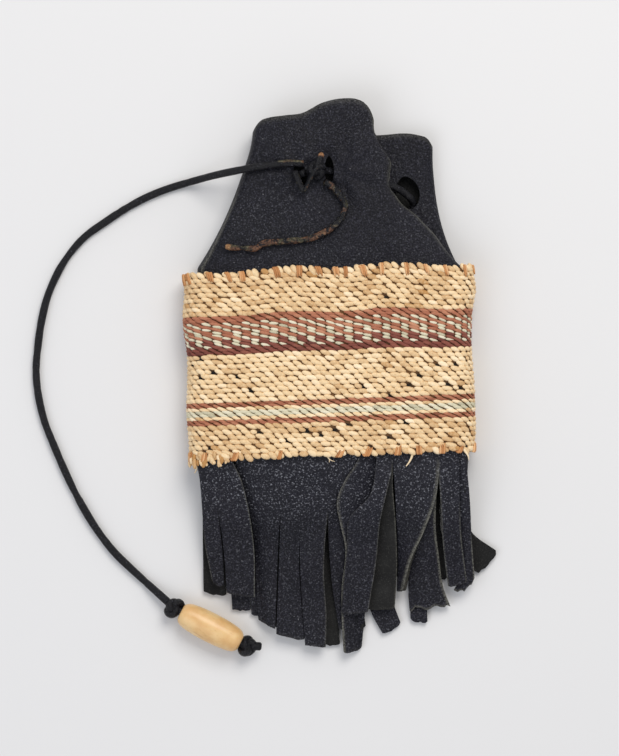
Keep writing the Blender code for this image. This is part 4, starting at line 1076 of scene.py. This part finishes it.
def make_weave():
    """The sleeve's floats, one closed grain each, in a coarse tan piece and a fine piece of all dyes,
    over a thin ground coloured as painted shade, whose gaps show black."""
    floats = lay_rows()
    chance = np.random.default_rng(12)
    coarse = np.flatnonzero(floats[:, COARSE] == 1)
    middle = coarse[floats[coarse, UP] < BAND_TOP - 0.02]
    loose = [chance.choice(middle, GAPS * 3 // 2, replace=False), chance.choice(coarse, GAPS // 2)]
    loose = np.concatenate(loose)
    floats[loose, LONG] *= 0.62
    floats[loose, WIDE] *= 0.85
    floats[loose, ROUND] -= 0.0003
    floats[np.minimum(loose + 1, len(floats) - 1), ROUND] += 0.0004
    shape, faces = grain_shape()
    per = len(shape)
    for name, kind, dyes in (
        ("tan_weave", 1, [TAN]), ("figured_weave", 0, [TAN, RUSSET, DARK_RUSSET, SAGE]),
    ):
        some = floats[floats[:, COARSE] == kind]
        a, y, long, wide, slant, dye, tint = some[:, :7].T[:, :, None]
        along = shape[None, :, 0] * long
        across = shape[None, :, 1] * wide
        thick = np.minimum(wide * 0.85, 0.00054)
        out = shape[None, :, 2] * thick - SLEEVE_IN * 0.85
        out = out + 0.00014 * (1 - shape[None, :, 0] ** 2) - 0.00020 * shape[None, :, 0]
        round_by, up_by = leaning(along, across, slant)
        points = on_sleeve(a + round_by, y + up_by, out)
        listed = [[corner + k * per for corner in face] for k in range(len(some)) for face in faces]
        which = np.repeat(dye[:, 0].astype(int), len(faces)) if len(dyes) > 1 else None
        weave = piece(name, points, listed, dyes, {"tint": np.repeat(tint[:, 0], per)}, which)
        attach(weave, "bag")
    make_ground(floats[loose])


def make_ground(gaps):
    """The sleeve's ground: a closed band under the floats, brown as painted shade and dark at each gap."""
    around, rows = 360, 120
    a = np.linspace(0, GIRTH, around, endpoint=False)[None, :]
    y = np.linspace(BAND_BOTTOM + 0.0004, BAND_TOP - 0.0004, rows)[:, None]
    outer = on_sleeve(a + 0 * y, y + 0 * a, -SLEEVE_IN - 0.00022)
    inner = on_sleeve(a + 0 * y, y + 0 * a, -SLEEVE_IN - 0.00085)[::-1]
    near = np.zeros((rows, around))
    for gap_a, gap_y in gaps[:, :2]:
        gap_a, gap_y = gap_a + 0.0012, gap_y - 0.0004
        off = np.mod(a - gap_a + GIRTH / 2, GIRTH) - GIRTH / 2
        near = np.maximum(near, np.exp(-((off / 0.0010) ** 2) - ((y - gap_y) / 0.0007) ** 2))
    points = np.concatenate([outer, inner])
    faces = quads(2 * rows, around, around=True, closed=True)[:, [0, 3, 2, 1]]
    dark = np.concatenate([near * 2.2, 0 * near]).clip(0, 1)
    ground = piece("weave_ground_painted_shade", points, faces.tolist(), [PAINTED_SHADE_GROUND], {"gap": dark})
    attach(ground, "bag")
    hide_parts("woven_band")


# Distance in mm from the sleeve's left end of each whip stitch seen on the front: top, then bottom.
TOP_STITCHES = (1.5, 4.2, 10.4, 14.8, 18.6, 27.6, 34.2, 39.0, 43.8, 46.8, 50.8, 56.4, 63.0, 68.2, 73.6)
LOW_STITCHES = (2.2, 7.8, 16.5, 29.0, 44.6, 52.0, 60.4, 66.5, 72.5, 77.0)


# Loose fibres at the bottom edge: (x, y, z) points in mm along each one, and its width in mm.
STRAY_FIBRES = (
    (((-3.8, -19.6, 13.2), (-3.2, -20.9, 12.9), (-2.4, -21.6, 12.6), (-1.4, -21.9, 12.3)), 0.45),
    (((-3.4, -20.0, 13.2), (-2.9, -21.2, 12.8), (-2.9, -22.2, 12.4)), 0.40),
    (((19.4, -18.9, 13.4), (19.3, -20.4, 13.0), (18.6, -22.0, 12.6), (17.7, -23.2, 12.3)), 0.80),
    (((-38.2, -21.4, 9.0), (-38.3, -22.8, 8.6), (-38.7, -24.2, 7.6), (-39.2, -25.2, 6.8)), 0.85),
    (((33.2, -18.6, 12.6), (34.4, -20.4, 12.0), (34.6, -21.6, 11.2)), 0.70),
)


EDGE_LUMPS, TUFTS = 82, 46
FINE_SIDES = 8
STITCH_STATIONS = 15


def make_edges():
    """The sleeve's edges: turned-in yarn that runs like a rope along the top and bottom, tufts at the
    bottom left, and brown thread whipped over it at uneven steps, two or three strands at a time."""
    chance = np.random.default_rng(14)
    shape, faces = grain_shape()
    lumps, stitches, tints = [], [], []
    for y, spread, fat in (
        (BAND_TOP - 0.0005, 0.00014, 0.00080), (BAND_BOTTOM + 0.0006, 0.00020, 0.00078),
    ):
        top = y > 0
        a = (np.arange(EDGE_LUMPS) + chance.uniform(-0.2, 0.2, EDGE_LUMPS)) * GIRTH / EDGE_LUMPS
        for place in a:
            size = fat * chance.uniform(0.88, 1.15)
            slant = chance.normal(-0.7 if top else -0.55, 0.2)
            along, across = shape[:, 0] * size * 1.7, shape[:, 1] * size
            out = shape[:, 2] * size * 0.85 - 0.0005 + chance.normal(0, 0.00006)
            round_by, up_by = leaning(along, across, slant)
            lumps.append((on_sleeve(place + round_by, y + chance.normal(0, spread) + up_by, out), faces))
            tints += [chance.normal(0.40, 0.16)] * len(shape)
    for _ in range(TUFTS):
        size, slant = chance.uniform(0.00042, 0.00068), chance.uniform(-2.6, -0.4)
        along, across = shape[:, 0] * size * chance.uniform(1.5, 2.4), shape[:, 1] * size
        round_by, up_by = leaning(along, across, slant)
        place, y = chance.uniform(0.0002, 0.0165), BAND_BOTTOM + chance.uniform(-0.0012, 0.0014)
        out = shape[:, 2] * size * 0.85 - chance.uniform(0.0, 0.0006)
        lumps.append((on_sleeve(place + round_by, y + up_by, out), faces))
        tints += [chance.normal(0.25, 0.2)] * len(shape)
    for line, fat in STRAY_FIBRES:
        strand = route(np.array(line) / 1000, 0.0004, 0.0)
        taper = fat * np.linspace(1, 0.35, len(strand))
        lumps.append(sweep(strand, 0.001, 0.0006, around=FINE_SIDES, squareness=1.0, scale=taper))
        tints += [0.75] * (len(strand) * FINE_SIDES)
    points, whole = gathered(lumps)
    edge = piece("sleeve_edges", points, whole, [TAN], {"tint": tints})
    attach(edge, "bag")
    tints = []
    for top in (True, False):
        listed = [0.001 * place for place in (TOP_STITCHES if top else LOW_STITCHES)]
        while listed[-1] < GIRTH - 0.007:
            listed.append(listed[-1] + chance.uniform(0.004, 0.008))
        for place in listed:
            lean = chance.normal(0.0008, 0.0005)
            reach = chance.uniform(0.0022, 0.0032) * (1 if top else 0.8)
            for strand in range(chance.integers(2, 4)):
                t = np.linspace(0, 1, STITCH_STATIONS)
                rise = np.sin(math.pi * np.clip(t * 1.15, 0, 1))
                edge_y = (BAND_TOP + 0.0003) if top else (BAND_BOTTOM - 0.0003)
                y = edge_y + (-1 if top else 1) * reach * (1 - rise) ** 0.8 * chance.uniform(0.85, 1.1)
                out = blend(0.00018, -0.0014, (t - 0.42) / 0.25)
                path = on_sleeve(place + 0.0005 * (strand - 0.8) + lean * (1 - 2 * t), y, out)
                size = {"squareness": 1.0, "scale": blend(0.5, 1, t * 6)}
                stitches.append(sweep(path, 0.00062, 0.0005, around=FINE_SIDES, **size))
                tints += [chance.normal(0.5, 0.2)] * (STITCH_STATIONS * FINE_SIDES)
    points, whole = gathered(stitches)
    whip = piece("whip_stitches", points, whole, [BROWN], {"tint": tints})
    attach(whip, "bag")


# Thongs and knots.


KNOT_STATIONS, KNOT_SIDES = 110, 12
BALL_ROWS, BALL_SIDES = 12, 20
CORD_SIDES, STRING_SIDES = 16, 14


def overhand(centre, heading, tilt, width, thick, seed, wider=1.0):
    """A pulled-up overhand knot: the thong follows a trefoil, (2 + cos 3t)(cos 2t, sin 2t) with height
    sin 3t, drawn in until its turns touch, and so many times wider across its heading."""
    t = np.linspace(0, 2 * math.pi, KNOT_STATIONS, endpoint=False)
    ring = (width - thick) / 2
    away = ring * (0.66 + 0.34 * np.cos(3 * t))
    path = np.column_stack([away * np.cos(2 * t), wider * away * np.sin(2 * t), ring * 0.55 * np.sin(3 * t)])
    path += 0.00018 * np.column_stack([rough(path + k, 0.0015, seed + k) for k in range(3)])
    c, s = math.cos(tilt), math.sin(tilt)
    path = path @ np.array([[1, 0, 0], [0, c, s], [0, -s, c]])
    c, s = math.cos(heading), math.sin(heading)
    path = path @ np.array([[c, s, 0], [-s, c, 0], [0, 0, 1]])
    facing = path / np.linalg.norm(path, axis=1, keepdims=True)
    return sweep(path + centre, thick, thick * 0.9, around=KNOT_SIDES, facing=facing, closed=True)


def ball(centre, size):
    """A filled core for a knot: a ball with its poles closed by one face each."""
    t = np.linspace(0.15, math.pi - 0.15, BALL_ROWS)[:, None]
    turn = np.linspace(0, 2 * math.pi, BALL_SIDES, endpoint=False)[None, :]
    points = np.stack([np.sin(t) * np.cos(turn), np.sin(t) * np.sin(turn), -np.cos(t) + 0 * turn], axis=-1)
    first, count = list(range(BALL_SIDES)), BALL_ROWS * BALL_SIDES
    faces = quads(BALL_ROWS, BALL_SIDES, around=True).tolist()
    faces += [first[::-1], list(range(count - BALL_SIDES, count))]
    return points * size / 2 + centre, faces


def worn_piece(name, parts, wear):
    """A piece of lace from its parts, with its wear at each point, which on the neck knot's loop also holds a
    painted highlight.
    """
    points, faces = gathered(parts)
    made = piece(name, points, faces, [LACE], {"worn_and_highlight": wear})
    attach(made, "bag")
    return made


AXIS = np.array([math.cos(BEAD_ANGLE), math.sin(BEAD_ANGLE), 0])
REACH = BEAD_LENGTH / 2 + GAP
BEAD_SHY, KNOT_ROUND, KNOT_REACH = 0.0003, 0.0052, 0.0021
UPPER_KNOT = BEAD_PLACE - AXIS * (BEAD_LENGTH / 2 - BEAD_SHY + KNOT_REACH)
END_KNOT = BEAD_PLACE + AXIS * (BEAD_LENGTH / 2 - BEAD_SHY + KNOT_REACH)
ASIDE = np.array([-AXIS[1], AXIS[0], 0])
UPPER_KNOT += 0.0002 * ASIDE
UPPER_KNOT[2] = END_KNOT[2] = KNOT_WIDTH / 2 + GAP


def over_front(points):
    """A thong's route laid over the front of the leather."""
    x, y = np.array(points, float).T
    return np.column_stack([x, y, front_height(x, y) + GAP + THONG / 2])


def make_long_thong(pieces):
    """The long end: over the leather, down its left side to the table, round to the upper knot,
    through the bead and into the end knot."""
    table = THONG / 2
    away = np.array([*LONG_ROUTE[-1], UPPER_KNOT[2]]) - UPPER_KNOT
    end = UPPER_KNOT + away / np.linalg.norm(away) * (KNOT_ROUND / 2 + GAP)
    line = route([(x, y, table) for x, y in LONG_ROUTE], 0.0007)
    x, y = line[:, 0], line[:, 1]
    laid = over_front(line[:, :2])[:, 2]
    start = laid[x > DROP_START][-1]
    down = blend(start, table, (DROP_START - x) / (DROP_START - DROP_END))
    up = blend(table, end[2], 1 - np.hypot(x - end[0], y - end[1]) / END_RISE)
    line[:, 2] = np.where(x > DROP_START, laid, np.where(y > 0, down, up))
    bead_in, bead_out = BEAD_PLACE - AXIS * REACH, BEAD_PLACE + AXIS * REACH
    path = route([*line[::3], UPPER_KNOT, bead_in, BEAD_PLACE, bead_out, END_KNOT], 0.0007)
    spot = path * [1, 1, 0]
    nicks = np.clip(np.abs(rough(spot, 0.0024, 51)) - 0.45, 0, 1)
    size = 1 - 0.22 * nicks + 0.05 * rough(spot, 0.006, 52)
    points, faces = sweep(path, 0.00205, 0.00195, around=CORD_SIDES, squareness=0.72, scale=size)
    near = np.linalg.norm(path[:, :2] - NECK_KNOT, axis=1)
    wear = blend(0.84, 0, (np.abs(near - 0.0066) - 0.002) / 0.0045)[:, None]
    north = points[..., 1] - path[:, None, 1]
    wear = 0.04 + wear * blend(0, 1, (north + 0.0001) / 0.0006)
    cord = worn_piece("long_thong_cord", [(points, faces)], wear)
    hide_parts("long_thong", "bead_thong")
    return length_of(path)


def make_tail():
    """The short end, worn brown and frayed: it drops from the knot, curls round and ends on the leather."""
    path = route(over_front(TAIL_ROUTE), 0.0005)
    spot = path * [1, 1, 0]
    along = np.linspace(0, 1, len(path))
    size = 0.93 + 0.16 * rough(spot, 0.0022, 53) + 0.08 * rough(spot, 0.0009, 54)
    size = size * run(((0, 1), (0.86, 0.95), (0.9, 0.72), (0.955, 1.15), (0.985, 0.95), (1, 0.5)), along)
    shape = sweep(path, 0.0018, 0.0016, around=CORD_SIDES, squareness=0.8, scale=size)
    wear = 0.53 + 0.10 * blend(0, 1, (along - 0.2) / 0.3) + 0.33 * blend(0, 1, (along - 0.93) / 0.05)
    tail = worn_piece("tail_thong_cord", [shape], np.repeat(wear, CORD_SIDES))
    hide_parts("thong_tail")
    return length_of(path)


def make_drawstring(knot_z):
    """The closed run through the slits, from one side of the neck knot round the neck to the other."""
    inside = LEATHER + 1.3 * GAP + THONG / 2

    def front(x, y):
        return float(plain_height(x, y)) - inside

    back = LIE + inside
    edge = [float(value) for value in pouch_frame(SLIT_EDGE_Y)]
    edge_x, edge_z = edge[9] + FOLD_RADIUS, edge[3] - FOLD_RADIUS
    lower = float(pouch_frame(SLIT_LOWER[1])[3]) - STEP_DOWN
    x, y = SLIT_RIGHT
    points = [
        (NECK_KNOT[0] + 0.0012, NECK_KNOT[1], knot_z),
        (x - 0.0042, y, front(x, y) + 0.0030),
        (x - 0.0030, y, front(x, y) + 0.0018),
        (x - 0.0018, y - 0.0002, front(x, y) + 0.0005),
        (x - 0.0002, y - 0.0004, front(x, y) - 0.0002),
        (x + 0.0040, y - 0.0012, front(x, y) - 0.0003),
        ((x + edge_x) / 2 + 0.002, (y + SLIT_EDGE_Y) / 2, (front(x, y) + edge_z) / 2 - 0.0002),
        (edge_x - 0.0026, SLIT_EDGE_Y + 0.0008, edge_z),
        (edge_x + 0.0006, SLIT_EDGE_Y, edge_z - 0.0001),
        (SLIT_LOWER[0] - 0.0022, SLIT_LOWER[1] + 0.0016, lower + 0.0014),
        (SLIT_LOWER[0] - 0.0004, SLIT_LOWER[1] + 0.0002, lower + 0.0007),
        (SLIT_LOWER[0] + 0.0006, SLIT_LOWER[1] - 0.0012, lower - 0.0008),
        (SLIT_LOWER[0] + 0.0004, SLIT_LOWER[1] - 0.0028, back + 0.0006),
        (SLIT_LOWER[0] - 0.0020, SLIT_LOWER[1] - 0.0044, back),
        (0.0110, 0.0462, back),
        (-0.0020, 0.0476, back),
        (-0.0140, 0.0500, back + 0.0002),
        (-0.0192, 0.0522, back + 0.0020),
        (-0.0192, 0.0538, front(-0.0190, 0.0538) - 0.0010),
        (SLIT_LEFT[0] - 0.0046, SLIT_LEFT[1] - 0.0002, front(*SLIT_LEFT) - 0.0002),
        (SLIT_LEFT[0] - 0.0015, SLIT_LEFT[1], front(*SLIT_LEFT) + 0.0009),
        (SLIT_LEFT[0] + 0.0003, SLIT_LEFT[1], front(*SLIT_LEFT) + 0.0024),
        (SLIT_LEFT[0] + 0.0018, SLIT_LEFT[1] + 0.0002, front(*SLIT_LEFT) + 0.0036),
        (NECK_KNOT[0] - KNOT_LENGTH / 2 - GAP, NECK_KNOT[1] - 0.0006, knot_z),
    ]
    path = route(points, 0.0007)
    size = 0.97 + 0.04 * rough(path, 0.003, 55)
    shape = sweep(path, 0.0020, 0.0018, around=STRING_SIDES, scale=size)
    string = worn_piece("drawstring_lace", [shape], np.full(len(path) * STRING_SIDES, 0.08))
    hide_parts("drawstring")


def make_neck_knot(knot_z):
    """The knot in front of the neck: its pulled-up turns, a stub whose worn tip points up, and the
    loop of lace that hangs in a V to its left."""
    centre = np.array([*NECK_KNOT, knot_z])
    turns = overhand(centre, 0.5, 0.35, 0.0056, 0.0019, 61)
    core = ball(centre, np.array([0.0036, 0.0034, 0.003]))
    stub = np.array([(0.0000, 0.0006, 0.0012), (0.0006, 0.0024, 0.0013), (0.0013, 0.0046, 0.0008)])
    stub = route(centre + stub, 0.0004)
    taper = run(((0, 0.95), (0.8, 0.85), (0.93, 0.8), (1, 0.45)), np.linspace(0, 1, len(stub)))
    stub_shape = sweep(stub, 0.0019, 0.0014, around=KNOT_SIDES, scale=taper)
    loop = np.array([
        (-0.0060, -0.0002, -0.0004), (-0.0054, -0.0018, 0.0000), (-0.0046, -0.0036, 0.0002),
        (-0.0039, -0.0050, 0.0003), (-0.0033, -0.0052, 0.0006), (-0.0026, -0.0040, 0.0009),
        (-0.0018, -0.0022, 0.0013), (-0.0008, -0.0004, 0.0015), (0.0004, 0.0012, 0.0014),
    ])
    loop = route(centre + loop, 0.0004)
    thick = 0.95 + 0.1 * rough(loop, 0.001, 64)
    loop_shape = sweep(loop, 0.0017, 0.0011, around=KNOT_SIDES, scale=thick)
    parts = [turns, core, stub_shape, loop_shape]
    worn_and_highlight = [np.full(KNOT_STATIONS * KNOT_SIDES, 0.06), np.zeros(BALL_ROWS * BALL_SIDES)]
    worn_and_highlight.append(np.repeat(blend(0.1, 1.0, (np.linspace(0, 1, len(stub)) - 0.55) / 0.3), KNOT_SIDES))
    # A painted highlight along both edges of the loop, carried in the lace's wear attribute.
    flank_highlight = np.abs(np.cos(np.linspace(0, 2 * math.pi, KNOT_SIDES, endpoint=False))) ** 2
    worn_and_highlight.append((0.12 + 0.42 * flank_highlight[None, :] + 0.1 * rough(loop, 0.002, 65)[:, None]).ravel())
    knot = worn_piece("neck_knot_lace", parts, np.concatenate(worn_and_highlight))
    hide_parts("neck_knot")


def make_bead_knots():
    """The knots either side of the bead: turns round a core, and the end knot's cut-off stub."""
    made = []
    for name, node, centre, heading, tilt, seed in (
        ("upper_knot_lace", "upper_knot", UPPER_KNOT, BEAD_ANGLE + math.pi - 0.45, 0.30, 66),
        ("end_knot_lace", "end_knot", END_KNOT, BEAD_ANGLE + 0.08, -0.35, 69),
    ):
        core = ball(centre, np.array([0.0028, 0.0031, 0.0031]))
        parts = [overhand(centre, heading, tilt, KNOT_ROUND, 0.0022, seed, 1.5), core]
        worn_and_highlight = [np.full(KNOT_STATIONS * KNOT_SIDES, 0.02), np.zeros(BALL_ROWS * BALL_SIDES)]
        if node == "end_knot":
            stub = np.array([(0.0008, 0, 0.0004), (0.0026, 0.0001, 0.0003), (0.0038, 0, 0.0001)])
            stub = route(centre + stub, 0.0003)
            along = np.linspace(0, 1, len(stub))
            blunt = run(((0, 1), (0.7, 1.12), (0.92, 1.08), (1, 0.8)), along)
            blunt = blunt + 0.06 * rough(stub, 0.001, 72)
            parts.append(sweep(stub, 0.0021, 0.0017, around=KNOT_SIDES, scale=blunt))
            worn_and_highlight.append(np.repeat(blend(0, 0.5, along * 2 - 1), KNOT_SIDES))
        knot = worn_piece(name, parts, np.concatenate(worn_and_highlight))
        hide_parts(node)
        made.append(knot)
    return made


BEAD_RINGS, BORE_RINGS, BEAD_SIDES = 61, 14, 72


def make_bead():
    """The bone bead: a barrel turned about its axis with a bore, its radius r(s) the source's profile,
    not quite even round it."""
    half, end, middle = BEAD_LENGTH / 2 - BEAD_SHY, BEAD_END_DIAMETER / 2, BEAD_DIAMETER / 2
    share = np.sin(np.linspace(-1, 1, BEAD_RINGS) * math.pi / 2)
    radius = middle - (middle - end) * np.abs(share) ** 2.2
    edge = half - np.abs(share) * half
    radius = radius - 0.0013 * (1 - np.sqrt(1 - np.clip(1 - edge / 0.0022, 0, 1) ** 2))
    bore = np.full(BORE_RINGS, THONG / 2 + GAP * 0.6)
    along = np.concatenate([share * half, np.linspace(half - 0.0001, -half + 0.0001, BORE_RINGS)])
    radius = np.concatenate([radius, bore])
    turn = np.linspace(0, 2 * math.pi, BEAD_SIDES, endpoint=False)
    grid_turn, grid_along = np.meshgrid(turn, along)
    spot = np.stack([grid_along, 0.004 * np.cos(grid_turn), 0.004 * np.sin(grid_turn)], axis=-1)
    outer = (np.arange(len(along)) < BEAD_RINGS)[:, None]
    across = radius[:, None] * (1 + 0.012 * rough(spot, 0.006, 71) * outer)
    outward = np.cos(grid_turn)[..., None] * ASIDE + np.sin(grid_turn)[..., None] * np.array([0, 0, 1])
    points = BEAD_PLACE + grid_along[..., None] * AXIS + across[..., None] * outward
    faces = quads(len(along), BEAD_SIDES, around=True, closed=True)
    bead = piece("bone_bead", points, faces.tolist(), [BONE])
    bead.data.set_sharp_from_angle(angle=math.radians(60))
    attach(bead, "bead")
    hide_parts("bead")
    return bead


# The camera looks straight down from far off, so 0.27 mm is one pixel at the height of the front.
camera = bpy.data.objects.new("camera", bpy.data.cameras.new("camera"))
bpy.context.scene.collection.objects.link(camera)
camera.location = (-0.0082, 0.0005, 0.907)
camera.data.sensor_fit = "HORIZONTAL"
camera.data.angle = 2 * math.atan(0.16713 / 2 / 0.9)
camera.data.clip_start = 0.01
bpy.context.scene.camera = camera
bpy.context.scene.view_settings.view_transform = "Standard"

knot_rise = KNOT_WIDTH * 0.36 + GAP
neck_z = float(plain_height(*NECK_KNOT)) + knot_rise
bead = make_bead()
long_length = make_long_thong([bead, *make_bead_knots()])
tail_length = make_tail()
print(f"long thong {long_length:.4f} m, tail {tail_length:.4f} m")
make_neck_knot(neck_z - 0.0002)
make_drawstring(neck_z - 0.0006)
make_pouch()
make_fringe()
make_weave()
make_edges()


def make_stage():
    """A plain pale table, a big soft window of light from the upper right and even light all round."""
    table = piece("table", [(-2, -2, 0), (2, -2, 0), (2, 2, 0), (-2, 2, 0)], [(0, 1, 2, 3)], [])
    table.data.materials.append(finish(begin("pale_table")[0], "DFDFE0", 0.7, 0.2, []))
    world = bpy.data.worlds.new("studio")
    bpy.context.scene.world = world
    world.use_nodes = True
    sky = world.node_tree.nodes["Background"]
    sky.inputs["Color"].default_value = linear("F4F5F8")
    sky.inputs["Strength"].default_value = 0.62
    for name, place, size, power, colour in (
        ("window", (0.20, 0.50, 0.75), 0.5, 5.0, "FFFBF4"), ("fill", (-0.5, -0.3, 0.7), 0.6, 1.6, "F2F6FF"),
    ):
        light = bpy.data.lights.new(name, "AREA")
        light.shape = "SQUARE"
        light.size = size
        light.energy = power
        light.color = linear(colour)[:3]
        lamp = bpy.data.objects.new(name, light)
        bpy.context.scene.collection.objects.link(lamp)
        lamp.location = place
        x, y, z = (-float(value) for value in place)
        lamp.rotation_euler = (math.atan2(math.hypot(x, y), -z), 0, math.atan2(y, x) - math.pi / 2)


make_stage()
